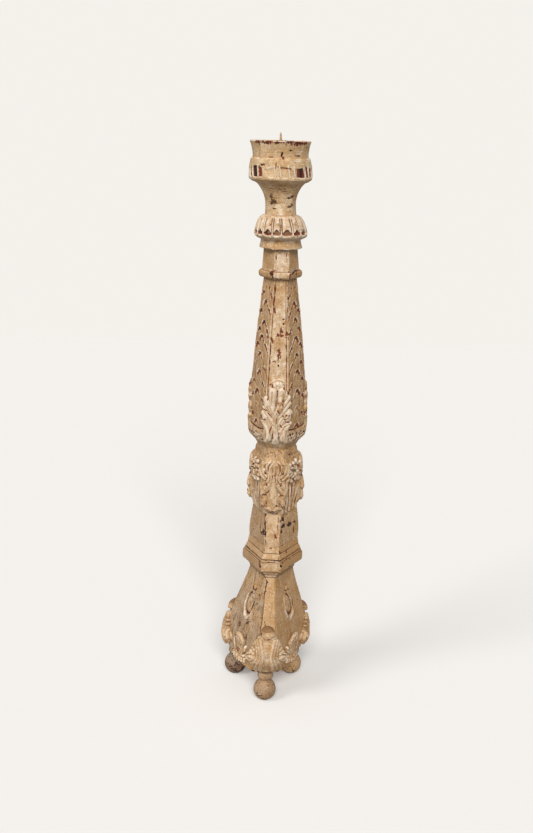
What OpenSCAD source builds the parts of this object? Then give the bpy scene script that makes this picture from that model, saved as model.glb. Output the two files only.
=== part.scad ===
// Carved three-sided altar candlestick: turned candle cup with an iron pricket, gadrooned knop, scale-carved
// shaft, leafy middle knop, boarded pyramid base and three ball feet.
// Millimetres. +Z is up and the origin is on the axis, in the plane that the feet stand on.
// Each square-cut section is a triangle with its corners cut off: its three narrow sides face -Y and the two
// rear corners, and its three wide sides lie between them.

/* [Heights] */
// Underside of the base above the standing plane
foot_h = 64; // [58:1:72]
// Boarded pyramid base, with its bottom board
base_h = 214; // [205:1:230]
// Cove under the slab
cap_h = 20; // [16:1:24]
// Flat slab above the base
slab_h = 20; // [16:1:24]
// Sloping moulding on the slab
moulding_h = 32; // [28:1:36]
// Plain stem below the middle knop
stem_h = 74; // [68:1:84]
// Middle knop
bulb_h = 135; // [132:1:146]
// Long scale-carved shaft
shaft_h = 363; // [345:1:380]
// Ring moulding above the shaft
ring_h = 16; // [14:1:20]
// Faceted neck block
neck_h = 42; // [38:1:46]
// Flared collar
collar_h = 17; // [14:1:22]
// Gadrooned knop
knop_h = 49; // [46:1:58]
// Turned candle cup with its stalk
cup_h = 141; // [136:1:150]
// Tip of the pricket above the cup's rim
pricket_out = 16; // [8:1:30]

/* [Turned parts] */
// Rim radius of the candle cup
rim_r = 60; // [57:0.5:64]
// Radius of the gadrooned band at its lower edge
band_r = 61.5; // [59:0.5:64]
// Radius of the stalk under the cup
stalk_r = 30.5; // [26:0.5:32]
// Radius of the hollow that holds the candle
hollow_r = 46; // [40:1:48]
// Depth of that hollow
hollow_depth = 42; // [30:1:46]
// Widest radius of the gadrooned knop
knop_r = 52.5; // [48:0.5:56]
// Lower radius of the flared collar
collar_r = 43; // [41:0.5:46]
// Radius of the pricket's round shank
pricket_r = 2.5; // [2:0.25:4]
// Radius of the pricket's tang, driven into the cup's floor
tang_r = 2; // [1.5:0.25:2]
// Radius of a ball foot
foot_r = 25; // [22:0.5:26]
// Distance of each foot from the axis
foot_circle = 73; // [70:0.5:76]

/* [Carved body] */
// Overall width of the slab
slab_w = 132; // [128:1:136]
// Width of the slab's narrow sides
slab_narrow = 44; // [40:1:48]
// Overall width of the base at its foot
base_w = 179; // [172:1:186]
// Overall width of the shaft where it is fullest
shaft_w = 117; // [112:1:122]
// Overall width of the shaft at its top
shaft_top_w = 66; // [62:1:72]
// Overall width of the middle knop
bulb_w = 108; // [104:1:112]
// Width of the stem's narrow sides
stem_narrow = 32; // [30:1:36]
// Width of a narrow side as a share of the overall width, on the shaft and knop
narrow = 0.4; // [0.36:0.01:0.44]
// Thickness of the base boards
board_t = 12; // [10:0.5:13]
// Thickness of the bottom board
bottom_t = 16; // [14:1:20]

/* [Joinery] */
// Radius of the post inside the base
post_r = 15; // [12:0.5:17]
// Radius of the loose dowels in the body
dowel_r = 13; // [10:0.5:14]
// Radius of the turned tenons and of the neck dowel
tenon_r = 12; // [9:0.5:13]
// Glue room round a tenon or dowel
glue = 0.1; // [0.05:0.05:0.2]
// Radius of a carving nail
nail_r = 1.2; // [1:0.1:1.5]

/* [Hidden] */
$fn = 96;
base_z = foot_h;
cap_z = base_z + base_h;
slab_z = cap_z + cap_h;
moulding_z = slab_z + slab_h;
stem_z = moulding_z + moulding_h;
bulb_z = stem_z + stem_h;
shaft_z = bulb_z + bulb_h;
ring_z = shaft_z + shaft_h;
neck_z = ring_z + ring_h;
collar_z = neck_z + neck_h;
knop_z = collar_z + collar_h;
cup_z = knop_z + knop_h;
rim_z = cup_z + cup_h;

tan_paint = "burlywood";
grey_paint = "rosybrown";
ochre_paint = "tan";
iron = "dimgray";

corner_turn = [0, 120, 240];
face_turn = [60, 180, 300];
end_room = 1;          // clear depth past the end of a tenon
cup_tenon = 30;
neck_tenon = 13;
dowel_depth = 27;
waist_depth = 40;
neck_dowel_depth = 37;
post_top = stem_z + 30;
pricket_depth = 26;
pricket_point = 18;

// ---- plan and loft ----

function turned(p, a) = [p.x * cos(a) - p.y * sin(a), p.x * sin(a) + p.y * cos(a)];

// Corners of the cut triangle, counter-clockwise from the front: w overall width, a narrow side
function plan(w, a) =
    let (edge = w + a, reach = edge / sqrt(3) - a * sqrt(3) / 2)
    [for (k = corner_turn) for (s = [-1, 1]) turned([s * a / 2, -reach], k)];

// The same plan moved inwards by t on every side
function inner_plan(w, a, t) = plan(w - 4 * t / sqrt(3), a - 2 * t / sqrt(3));

function raised(outline, z) = [for (p = outline) [p.x, p.y, z]];

// Solid through a list of rings of points, lowest first
module loft(rings) {
    n = len(rings[0]);
    last = len(rings) - 1;
    points = [for (r = rings) each r];
    sides = [for (j = [0:last - 1]) for (i = [0:n - 1])
        [j * n + i, (j + 1) * n + i, (j + 1) * n + (i + 1) % n, j * n + (i + 1) % n]];
    bottom = [for (i = [0:n - 1]) i];
    top = [for (i = [0:n - 1]) last * n + n - 1 - i];
    polyhedron(points, concat([bottom], sides, [top]));
}

// levels: [height above z0, overall width, narrow side]
module stack(z0, levels) {
    loft([for (l = levels) raised(plan(l[1], l[2]), z0 + l[0])]);
}

module bore(r, z0, z1) {
    translate([0, 0, z0]) cylinder(r = r + glue, h = z1 - z0);
}

module turned_part(profile) {
    rotate_extrude() polygon(profile);
}

// ---- carved sections ----

shaft_shares = [[0, 0.67], [8, 0.69], [17, 0.8], [26, 0.92], [36, 0.985], [52, 1], [147, 0.957], [240, 0.81]];
shaft_levels = concat(
    [for (s = shaft_shares) [s[0], s[1] * shaft_w, s[1] * shaft_w * narrow]],
    [[shaft_h, shaft_top_w, shaft_top_w * narrow]]);
bulb_shares = [[0, 0.88], [10, 0.89], [23, 0.95], [41, 0.985], [101, 1], [117, 0.985], [127, 0.88], [bulb_h, 0.73]];
bulb_levels = [for (s = bulb_shares) [s[0], s[1] * bulb_w, s[1] * bulb_w * narrow]];
stem_widths = [[0, 105], [10, 107], [22, 107], [36, 105], [54, 101], [stem_h, 95]];
stem_levels = [for (s = stem_widths) [s[0], s[1], stem_narrow]];
base_shares = [[0, 0.915, 62], [bottom_t, 0.925, 60], [40, 0.957, 50], [66, 0.985, 41], [101, 0.922, 36],
    [127, 0.832, 31.5], [149, 0.749, 28], [171, 0.665, 25], [192, 0.592, 22], [base_h, 0.53, 19.5]];
base_levels = [for (s = base_shares) [s[0], s[1] * base_w, s[2]]];
board_levels = [for (l = base_levels) if (l[0] >= bottom_t) l];

module shaft_body() { stack(shaft_z, shaft_levels); }
module bulb_body() { stack(bulb_z, bulb_levels); }
module base_body() { stack(base_z, base_levels); }

// One board or strip of the base: the part of the shell that lies outside side number i of the plan
module shell_side(i) {
    j = (i + 1) % 6;
    loft([for (l = board_levels)
        let (o = plan(l[1], l[2]), n = inner_plan(l[1], l[2], board_t))
        raised([o[i], o[j], n[j], n[i]], base_z + l[0])]);
}

// ---- applied carving ----

// A relief on a side that faces -Y: where a front outline [x, z] meets a side profile [reach, z],
// rounded in plan to radius bend about a centre at reach middle
module relief(outline, profile, bend, middle) {
    span = 300;
    intersection() {
        rotate([90, 0, 0]) linear_extrude(height = span) polygon(outline);
        rotate([90, 0, -90]) linear_extrude(height = span, center = true) polygon(profile);
        translate([0, -middle, profile[0][1] - 1]) cylinder(r = bend, h = span);
    }
}

// Half a leaf's edge from its foot to its tip: widths at lobes, with notches between them
function leaf_half(z0, h, w, lobes) =
    [for (i = [0:lobes * 2]) let (u = i / (lobes * 2), swell = sin(30 + 150 * u), lobe = i % 2 == 0 ? 0.8 : 1)
        [w / 2 * swell * lobe + 3, z0 + h * u]];

function mirrored(half) = concat(half, [for (i = [len(half) - 1:-1:0]) [-half[i].x, half[i].y]]);

shaft_leaf_z = shaft_z + 27;
shaft_leaf_h = 146;
shaft_leaf_w = 66;
shaft_reach = 50;
knop_leaf_z = bulb_z + 5;
knop_leaf_h = 116;
knop_leaf_w = 56;
knop_reach = 46;

module shaft_leaf(k) {
    z = shaft_leaf_z;
    h = shaft_leaf_h;
    side = [[30, z - 1], [shaft_reach + 6, z - 1], [shaft_reach + 14, z + 0.12 * h], [shaft_reach + 14, z + 0.3 * h],
        [shaft_reach + 8, z + 0.5 * h], [shaft_reach + 7, z + 0.8 * h], [shaft_reach + 13, z + 0.93 * h],
        [shaft_reach + 9, z + h + 1], [30, z + h + 1]];
    rotate([0, 0, k]) difference() {
        relief(mirrored(leaf_half(z, h, shaft_leaf_w, 4)), side, 44, shaft_reach - 29);
        rotate([0, 0, -k]) shaft_body();
    }
}

module knop_leaf(k) {
    z = knop_leaf_z;
    h = knop_leaf_h;
    side = [[25, z - 1], [knop_reach + 8, z - 1], [knop_reach + 12, z + 0.1 * h], [knop_reach + 10, z + 0.4 * h],
        [knop_reach + 14, z + 0.75 * h], [knop_reach + 14, z + 0.9 * h], [knop_reach + 7, z + h + 1], [25, z + h + 1]];
    outline = mirrored([for (p = leaf_half(0, h, knop_leaf_w, 4)) [p.x, z + h - p.y]]);
    rotate([0, 0, k]) difference() {
        relief([for (i = [len(outline) - 1:-1:0]) outline[i]], side, 40, knop_reach - 24);
        rotate([0, 0, -k]) bulb_body();
        nail_hole();
    }
}

nail_z = knop_leaf_z + 24;
nail_side = 7;
nail_head_r = 2.6;
nail_len = 20;
nail_reach = knop_reach + 10.8;

module nail_hole() {
    translate([nail_side, -nail_reach + nail_len, nail_z]) rotate([90, 0, 0]) cylinder(r = nail_r + glue, h = nail_len + 20);
}

module nail() {
    translate([nail_side, -nail_reach + nail_len, nail_z]) rotate([90, 0, 0]) {
        cylinder(r = nail_r, h = nail_len);
        translate([0, 0, nail_len]) cylinder(r = nail_head_r, h = 1);
    }
}

rosette_z = bulb_z + 86;
rosette_reach = 38;
module rosette(k) {
    petals = [for (i = [0:5:355]) (15 + 4 * cos(5 * i)) * [cos(i + 18), sin(i + 18)]];
    rotate([0, 0, k]) difference() {
        translate([0, -rosette_reach, rosette_z]) rotate([90, 0, 0]) union() {
            linear_extrude(height = 14.5) polygon(petals);
            cylinder(r = 5, h = 17.5);
        }
        rotate([0, 0, -k]) bulb_body();
    }
}

palmette_z = base_z + 13;
palmette_h = 74;
module palmette(k) {
    z = palmette_z;
    h = palmette_h;
    half = [for (p = [[14, 0], [20, 0.05], [34, 0.15], [43, 0.3], [41, 0.48], [31, 0.72], [26, 0.92], [24, 1]])
        [p[0], z + p[1] * h]];
    side = [[50, z - 1], [96, z - 1], [108, z + 0.12 * h], [113, z + 0.32 * h], [110, z + 0.55 * h],
        [105, z + 0.85 * h], [103, z + h + 1], [50, z + h + 1]];
    rotate([0, 0, k]) difference() {
        relief(mirrored(half), side, 46, 66);
        rotate([0, 0, -k]) base_body();
    }
}

scroll_z = palmette_z + palmette_h + 12;
scroll_reach = 84;
module corner_scroll(k) {
    rotate([0, 0, k]) difference() {
        translate([0, -scroll_reach, scroll_z]) rotate([0, 90, 0]) {
            cylinder(r = 12, h = 22, center = true);
            cylinder(r = 7, h = 27, center = true);
        }
        rotate([0, 0, -k]) base_body();
    }
}

face_shell_z = base_z + 6;
face_shell_h = 66;
module face_shell(k) {
    z = face_shell_z;
    h = face_shell_h;
    half = [[9, z], [17, z + 0.1 * h], [20, z + 0.35 * h], [17, z + 0.65 * h], [10, z + 0.85 * h], [4, z + h]];
    side = [[45, z - 1], [72, z - 1], [77, z + 0.15 * h], [78, z + 0.4 * h], [74, z + 0.7 * h], [70, z + h + 1],
        [45, z + h + 1]];
    rotate([0, 0, k]) difference() {
        relief(mirrored(half), side, 44, 34);
        rotate([0, 0, -k]) base_body();
    }
}

// ---- turned parts ----

module pricket_spike() {
    floor_z = rim_z - hollow_depth;
    tip_z = rim_z + pricket_out;
    color(ochre_paint) turned_part([[0, floor_z - pricket_depth], [tang_r, floor_z - pricket_depth],
        [tang_r, floor_z], [pricket_r, floor_z], [pricket_r, tip_z - pricket_point], [0.6, tip_z], [0, tip_z]]);
}

wall_low_r = 54.5;     // narrowest radius of the wall between rim and band
band_top = 33;         // depth of the band's upper edge below the rim
band_low = 70;         // depth of its lower edge
flare_h = 45;          // height of the trumpet under the band
flare_power = 1.7;     // fullness of the trumpet's curve

module candle_cup() {
    flare_r = band_r - 4.5;
    flare_z = rim_z - band_low - 5;
    foot = [[tenon_r, cup_z - cup_tenon], [tenon_r, cup_z], [stalk_r, cup_z], [stalk_r, flare_z - flare_h]];
    flare = [for (i = [1:12]) let (u = i / 12)
        [stalk_r + (flare_r - stalk_r) * (1 - pow(1 - pow(u, flare_power), 1 / flare_power)), flare_z - flare_h * (1 - u)]];
    band = [for (i = [0:6]) let (u = i / 6)
        [wall_low_r + 4 + (band_r - wall_low_r - 4) * sin(90 * (1 - u)), rim_z - band_low + (band_low - band_top) * u]];
    wall = [for (i = [0:5]) let (u = i / 5)
        [wall_low_r + (rim_r - wall_low_r) * pow(u, 1.5), rim_z - band_top + 3 + (band_top - 3) * u]];
    hollow = [[hollow_r + 3, rim_z], [hollow_r, rim_z - 6], [hollow_r, rim_z - hollow_depth],
        [tang_r + glue, rim_z - hollow_depth], [tang_r + glue, rim_z - hollow_depth - pricket_depth - end_room],
        [0, rim_z - hollow_depth - pricket_depth - end_room], [0, cup_z - cup_tenon]];
    color(tan_paint) turned_part(concat(foot, flare, band, wall, hollow));
}

module gadrooned_knop() {
    shoulder_h = 36;
    low_h = knop_h - shoulder_h;
    top_r = stalk_r + 1.5;
    low_r = collar_r - 2.5;
    lower = [for (i = [0:6]) let (s = 1 - i / 6) [low_r + (knop_r - low_r) * (1 - pow(s, 1.3)), knop_z + low_h * (1 - s)]];
    upper = [for (i = [1:10]) let (t = 1 - i / 10)
        [top_r + (knop_r - top_r) * pow(t, 0.4), cup_z - shoulder_h * t]];
    color(tan_paint) turned_part(concat(
        [[0, knop_z - collar_h - neck_tenon], [tenon_r, knop_z - collar_h - neck_tenon], [tenon_r, knop_z]],
        lower, upper,
        [[tenon_r + glue, cup_z], [tenon_r + glue, cup_z - cup_tenon - end_room], [0, cup_z - cup_tenon - end_room]]));
}

module flared_collar() {
    curve = [for (i = [0:6]) let (u = i / 6) [collar_r - 2.5 * sin(90 * u), collar_z + collar_h * u]];
    color(tan_paint) turned_part(concat([[tenon_r + glue, collar_z]], curve, [[tenon_r + glue, knop_z]]));
}

// ---- sections ----

module neck_block() {
    low_w = shaft_top_w + 9;
    top_w = shaft_top_w + 2;
    color(tan_paint) difference() {
        stack(neck_z, [[0, low_w, low_w * narrow], [neck_h, top_w, top_w * narrow]]);
        bore(tenon_r, collar_z - neck_tenon - end_room, collar_z + 1);
        bore(tenon_r, neck_z - 1, neck_z + neck_tenon + 7);
    }
}

module ring_moulding() {
    w = shaft_top_w + 23;
    color(ochre_paint) difference() {
        stack(ring_z, [[0, w - 7, (w - 7) * narrow], [3, w - 1, (w - 1) * narrow], [7, w, w * narrow],
            [ring_h - 5, w, w * narrow], [ring_h - 2, w - 4, (w - 4) * narrow], [ring_h, w - 11, (w - 11) * narrow]]);
        bore(tenon_r, ring_z - 1, neck_z + 1);
    }
}

module main_shaft() {
    color(tan_paint) difference() {
        shaft_body();
        bore(dowel_r, shaft_z - 1, shaft_z + waist_depth + end_room);
        bore(tenon_r, ring_z - neck_dowel_depth - end_room, ring_z + 1);
    }
}

module middle_knop() {
    color(tan_paint) difference() {
        bulb_body();
        bore(dowel_r, shaft_z - waist_depth - end_room, shaft_z + 1);
        bore(dowel_r, bulb_z - 1, bulb_z + dowel_depth + end_room);
        for (k = corner_turn) rotate([0, 0, k]) nail_hole();
    }
}

module lower_stem() {
    color(tan_paint) difference() {
        stack(stem_z, stem_levels);
        bore(dowel_r, bulb_z - dowel_depth - end_room, bulb_z + 1);
        bore(post_r, stem_z - 1, post_top + end_room);
    }
}

module collar_moulding() {
    color(ochre_paint) difference() {
        stack(moulding_z, [[0, slab_w - 3, slab_narrow - 1], [5, slab_w - 5, slab_narrow - 2],
            [8, 122, slab_narrow - 5], [17, 113, stem_narrow + 3], [moulding_h - 3, 108, stem_narrow + 1],
            [moulding_h, 107, stem_narrow]]);
        bore(post_r, moulding_z - 1, stem_z + 1);
    }
}

module collar_slab() {
    edge = 2;
    a = slab_narrow;
    color(tan_paint) difference() {
        stack(slab_z, [[0, slab_w - edge, a], [edge, slab_w, a], [slab_h - edge, slab_w, a], [slab_h, slab_w - edge, a]]);
        bore(post_r, slab_z - 1, moulding_z + 1);
    }
}

module base_cap() {
    low = base_w * 0.55;
    color(tan_paint) difference() {
        stack(cap_z, [[0, low, 23], [5, low + 2, 24], [8, low + 5, 28], [cap_h - 4, low + 13, 34], [cap_h, low + 15, 36]]);
        bore(post_r, cap_z - 1, slab_z + 1);
    }
}

module face_board(side) { color(side == 5 ? grey_paint : tan_paint) shell_side(side); }
module corner_strip(side) { color(tan_paint) shell_side(side); }

module bottom_board() {
    foot_tenon_r = tenon_r - 4;
    color(ochre_paint) difference() {
        stack(base_z, [for (l = base_levels) if (l[0] <= bottom_t) l]);
        bore(post_r, base_z - 1, base_z + bottom_t + 1);
        for (k = corner_turn) rotate([0, 0, k]) translate([0, -foot_circle, 0])
            bore(foot_tenon_r, base_z - 1, base_z + bottom_t + 1);
    }
}

module foot(k) {
    flat_r = foot_r * 0.5;
    ball_z = foot_r * 0.9;
    bead_r = 17;
    waist_r = 12.5;
    bead_z = foot_h - 8;
    ball = [for (i = [0:14]) let (a = asin(-ball_z / foot_r * 0.96) + i * 8.6) if (a < 58)
        [foot_r * cos(a) + flat_r * 0.06, ball_z + foot_r * sin(a)]];
    bead = [for (i = [0:6]) let (a = -90 + i * 30) [bead_r - 5 + 5 * cos(a), bead_z + 6.5 * sin(a)]];
    color(k == 240 ? "gray" : tan_paint) rotate([0, 0, k]) translate([0, -foot_circle, 0])
        turned_part(concat([[0, 0], [flat_r, 0]], ball, [[waist_r, bead_z - 8], [waist_r, bead_z - 6.8]], bead,
            [[bead_r - 3, foot_h], [tenon_r - 4, foot_h], [tenon_r - 4, foot_h + bottom_t - 1],
            [0, foot_h + bottom_t - 1]]));
}

// ---- loose joinery ----

module rod(r, z0, z1) {
    color(ochre_paint) translate([0, 0, z0]) cylinder(r = r, h = z1 - z0);
}

pricket_spike();
candle_cup();
gadrooned_knop();
flared_collar();
neck_block();
ring_moulding();
main_shaft();
color(tan_paint) shaft_leaf(0);  // shaft_leaf_front
color(tan_paint) shaft_leaf(120);  // shaft_leaf_right
color(tan_paint) shaft_leaf(240);  // shaft_leaf_left
middle_knop();
color(ochre_paint) knop_leaf(0);  // knop_leaf_front
color(ochre_paint) knop_leaf(120);  // knop_leaf_right
color(ochre_paint) knop_leaf(240);  // knop_leaf_left
color(ochre_paint) rosette(face_turn[0]);  // rosette_right
color(ochre_paint) rosette(face_turn[1]);  // rosette_back
color(ochre_paint) rosette(face_turn[2]);  // rosette_left
color(iron) for (k = corner_turn) rotate([0, 0, k]) nail();  // leaf_nails
lower_stem();
collar_moulding();
collar_slab();
base_cap();
face_board(1);  // face_board_right
face_board(3);  // face_board_back
face_board(5);  // face_board_left
corner_strip(0);  // corner_strip_front
corner_strip(2);  // corner_strip_right
corner_strip(4);  // corner_strip_left
bottom_board();
color(ochre_paint) corner_scroll(0);  // corner_scroll_front
color(ochre_paint) corner_scroll(120);  // corner_scroll_right
color(ochre_paint) corner_scroll(240);  // corner_scroll_left
color(tan_paint) palmette(0);  // palmette_front
color(tan_paint) palmette(120);  // palmette_right
color(tan_paint) palmette(240);  // palmette_left
color(ochre_paint) face_shell(face_turn[0]);  // face_shell_right
color(ochre_paint) face_shell(face_turn[1]);  // face_shell_back
color(ochre_paint) face_shell(face_turn[2]);  // face_shell_left
foot(0);  // foot_front
foot(120);  // foot_right
foot(240);  // foot_left
rod(post_r, base_z, post_top);  // base_post
rod(dowel_r, bulb_z - dowel_depth, bulb_z + dowel_depth);  // stem_dowel
rod(dowel_r, shaft_z - waist_depth, shaft_z + waist_depth);  // waist_dowel
rod(tenon_r, ring_z - neck_dowel_depth, neck_z + neck_tenon + 6);  // neck_dowel
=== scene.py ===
"""Altar candlestick: carved, painted and worn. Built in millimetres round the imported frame, then scaled to metres."""

import math
from copy import deepcopy

import bpy
import numpy as np
from mathutils import Matrix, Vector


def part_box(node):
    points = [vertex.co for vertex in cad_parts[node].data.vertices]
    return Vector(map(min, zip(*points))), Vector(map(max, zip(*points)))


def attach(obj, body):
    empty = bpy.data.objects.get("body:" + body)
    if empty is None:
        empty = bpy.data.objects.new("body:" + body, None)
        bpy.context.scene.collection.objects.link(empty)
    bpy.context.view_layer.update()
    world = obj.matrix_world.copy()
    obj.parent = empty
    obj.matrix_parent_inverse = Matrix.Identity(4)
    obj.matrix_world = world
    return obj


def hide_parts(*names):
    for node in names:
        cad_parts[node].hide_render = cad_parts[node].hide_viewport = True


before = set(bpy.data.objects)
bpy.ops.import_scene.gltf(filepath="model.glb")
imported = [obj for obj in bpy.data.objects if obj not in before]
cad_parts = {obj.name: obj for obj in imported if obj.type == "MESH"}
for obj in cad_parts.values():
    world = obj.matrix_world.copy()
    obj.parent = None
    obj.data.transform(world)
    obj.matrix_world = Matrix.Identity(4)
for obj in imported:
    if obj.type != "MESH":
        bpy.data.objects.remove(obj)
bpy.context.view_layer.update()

MM = 0.001
ROOT3 = math.sqrt(3)
CORNERS = {"front": 0, "right": 120, "left": 240}
FACES = {"right": 60, "back": 180, "left": 300}

# ------------------------------------------------------------------ reading the frame


def cad_points(node):
    """A CAD node's vertices in millimetres."""
    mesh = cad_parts[node].data
    co = np.zeros(len(mesh.vertices) * 3, np.float32)
    mesh.vertices.foreach_get("co", co)
    return co.reshape(-1, 3).astype(float) / MM


def span(node):
    """Lowest and highest z of a CAD node, in millimetres."""
    low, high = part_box(node)
    return low[2] / MM, high[2] / MM


def section_levels(node, least_reach=20, least_narrow=3):
    """(z, narrow side, reach) at each level of a three-sided section. Reach is from the axis to the narrow side."""
    co = cad_points(node)
    rows = []
    for z in np.unique(np.round(co[:, 2], 1)):
        ring = co[np.abs(co[:, 2] - z) < 0.06]
        reach = -ring[:, 1].min()
        front = ring[ring[:, 1] < -reach + 0.05]
        narrow = front[:, 0].max() - front[:, 0].min()
        if reach > least_reach and narrow > least_narrow:
            rows.append((z, narrow, reach))
    return np.array(rows)


def directions(degrees):
    """The way out from the axis, and the way along the side, for a side turned from the front by so many degrees."""
    a = math.radians(degrees - 90)
    return np.array([math.cos(a), math.sin(a), 0.0]), np.array([-math.sin(a), math.cos(a), 0.0])


class Profile:
    """Narrow side, reach, overall width and depth of the wide side of a section, at any height."""

    def __init__(self, rows, soften=4.0):
        z = np.arange(rows[0, 0], rows[-1, 0] + 0.5, 0.5)
        narrow = np.interp(z, rows[:, 0], rows[:, 1])
        reach = np.interp(z, rows[:, 0], rows[:, 2])
        n = max(int(soften / 0.5), 1)
        kernel = np.ones(2 * n + 1) / (2 * n + 1)
        self.z = z
        self.a = np.convolve(np.pad(narrow, n, mode="edge"), kernel, "valid")
        self.r = np.convolve(np.pad(reach, n, mode="edge"), kernel, "valid")

    def narrow(self, z):
        return np.interp(z, self.z, self.a)

    def reach(self, z):
        return np.interp(z, self.z, self.r)

    def edge(self, z):
        """Side of the whole triangle, before its corners are cut off."""
        return ROOT3 * (self.reach(z) + self.narrow(z) * ROOT3 / 2)

    def wide(self, z):
        return self.edge(z) - 2 * self.narrow(z)

    def flat(self, z):
        """From the axis to the wide side."""
        return self.edge(z) / (2 * ROOT3)


# ------------------------------------------------------------------ noise


def lattice(ix, iy, iz, seed):
    """A number from 0 to 1 for each place on a grid of whole numbers."""
    h = (ix * 374761393 + iy * 668265263 + iz * 2147483647 + seed * 1274126177) & 0xFFFFFFFF
    h = ((h ^ (h >> 13)) * 1103515245) & 0xFFFFFFFF
    h = ((h ^ (h >> 16)) * 2246822519) & 0xFFFFFFFF
    return ((h ^ (h >> 15)) & 0xFFFFFF) / float(0xFFFFFF)


def noise(p, size, seed):
    """Smooth value noise from -1 to 1. Size is one number or one for each axis, in millimetres."""
    q = p / np.asarray(size, float)
    base = np.floor(q).astype(np.int64)
    f = q - base
    f = f * f * (3 - 2 * f)
    total = np.zeros(len(p))
    for dx in (0, 1):
        wx = f[:, 0] if dx else 1 - f[:, 0]
        for dy in (0, 1):
            wy = f[:, 1] if dy else 1 - f[:, 1]
            for dz in (0, 1):
                wz = f[:, 2] if dz else 1 - f[:, 2]
                total += wx * wy * wz * lattice(base[:, 0] + dx, base[:, 1] + dy, base[:, 2] + dz, seed)
    return total * 2 - 1


def fbm(p, size, octaves, seed):
    """Noise in octaves, each half as large as the last and weaker."""
    size = np.asarray(size, float)
    total, weight, norm = np.zeros(len(p)), 1.0, 0.0
    for i in range(octaves):
        total += weight * noise(p + 17.3 * i, size / 2**i, seed + i)
        norm += weight
        weight *= 0.55
    return total / norm


def step(x, low, high):
    """Rises smoothly from 0 at low to 1 at high."""
    t = np.clip((x - low) / (high - low), 0, 1)
    return t * t * (3 - 2 * t)


# ------------------------------------------------------------------ meshes


class Shell:
    """A mesh under construction: points in millimetres, faces, and paint values for each point."""

    def __init__(self, points, quads, tris=()):
        self.p = np.asarray(points, float)
        self.quads = np.asarray(quads, np.int64).reshape(-1, 4)
        self.tris = np.asarray(tris, np.int64).reshape(-1, 3)
        for paint in ("red", "dark", "pale", "grey", "deep", "ochre"):
            setattr(self, paint, np.zeros(len(self.p)))
        self.pits = np.full(len(self.p), 0.25)
        q, t = self.quads, self.tris
        pairs = [q[:, [0, 1]], q[:, [1, 2]], q[:, [2, 3]], q[:, [3, 0]], t[:, [0, 1]], t[:, [1, 2]], t[:, [2, 0]]]
        e = np.sort(np.concatenate(pairs), axis=1)
        n = len(self.p)
        code = np.unique(e[:, 0] * n + e[:, 1])
        self.ea, self.eb = code // n, code % n
        self.degree = np.maximum(np.bincount(self.ea, minlength=n) + np.bincount(self.eb, minlength=n), 1)

    def more(self, **paints):
        """Raises paint values to at least the given ones."""
        for paint, values in paints.items():
            setattr(self, paint, np.maximum(getattr(self, paint), values))

    def average(self, values):
        """Mean of each point's neighbours."""
        n = len(self.p)
        v = values if values.ndim == 2 else values[:, None]
        out = np.empty_like(v, dtype=float)
        for c in range(v.shape[1]):
            col = v[:, c]
            out[:, c] = np.bincount(self.ea, col[self.eb], n) + np.bincount(self.eb, col[self.ea], n)
        out /= self.degree[:, None]
        return out if values.ndim == 2 else out[:, 0]

    def smooth(self, rounds, amount=0.5):
        for _ in range(rounds):
            self.p += amount * (self.average(self.p) - self.p)

    def normals(self):
        n = np.zeros_like(self.p)
        q, t = self.quads, self.tris
        for f, a, b, c, d in ((q, 2, 0, 3, 1), (t, 1, 0, 2, 0)):
            if not len(f):
                continue
            across = np.cross(self.p[f[:, a]] - self.p[f[:, b]], self.p[f[:, c]] - self.p[f[:, d]])
            for corner in range(f.shape[1]):
                for k in range(3):
                    n[:, k] += np.bincount(f[:, corner], across[:, k], len(self.p))
        return n / np.maximum(np.linalg.norm(n, axis=1), 1e-9)[:, None]

    def hollows(self, rounds, scale):
        """How far each point lies under its smoothed surroundings: above 0 in a recess, below 0 on a ridge."""
        s = self.p.copy()
        for _ in range(rounds):
            s += 0.6 * (self.average(s) - s)
        return np.einsum("ij,ij->i", s - self.p, self.normals()) / scale


def ring_grid(rows):
    """Quads and cap triangles round a stack of closed rings, given as an array [level, point, xyz]."""
    nz, nr = rows.shape[:2]
    i = np.arange(nr)
    j = (i + 1) % nr
    k = np.arange(nz - 1)[:, None] * nr
    quads = np.stack([k + i, k + j, k + nr + j, k + nr + i], axis=-1).reshape(-1, 4)
    points = rows.reshape(-1, 3)
    low, high = len(points), len(points) + 1
    points = np.vstack([points, rows[0].mean(0), rows[-1].mean(0)])
    top = (nz - 1) * nr
    tris = np.vstack([
        np.stack([j, i, np.full(nr, low)], axis=-1),
        np.stack([top + i, top + j, np.full(nr, high)], axis=-1),
    ])
    return points, quads, tris


def with_caps(rows, inset, steps):
    """Adds rings that close in over both ends, so that the ends have real faces and a soft arris."""
    out = [rows]
    for end, order in ((rows[0], -1), (rows[-1], 1)):
        centre = end.mean(0)
        caps = np.array([centre + (end - centre) * (1 - inset * s / steps) for s in range(1, steps + 1)])
        out = [caps[::-1]] + out if order < 0 else out + [caps]
    return np.concatenate(out)


# ------------------------------------------------------------------ bend, wear and painted shade, shared by every piece

# How the old stick bends and twists: height, sideways shift in mm, turn in degrees
BEND = [(0, -7.0, 3.0), (60, -5.5, 3.0), (200, 1.0, 0.0), (300, 4.8, -2.0), (400, 6.6, -4.0), (560, 6.0, -3.0),
        (700, 5.6, -2.0), (880, 3.4, 0.0), (940, 2.6, 4.0), (1010, 0.6, 5.0), (1080, -2.2, 0.0), (1210, -6.5, 0.0)]
BEND_Z = np.arange(0, 1211, 5.0)


def smooth_bend(column):
    """One column of BEND as a smooth curve over BEND_Z."""
    table = np.array(BEND)
    raw = np.interp(BEND_Z, table[:, 0], table[:, column])
    return np.convolve(np.pad(raw, 8, mode="edge"), np.ones(17) / 17, "valid")


BEND_SHIFT, BEND_TURN = smooth_bend(1), smooth_bend(2)


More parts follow.
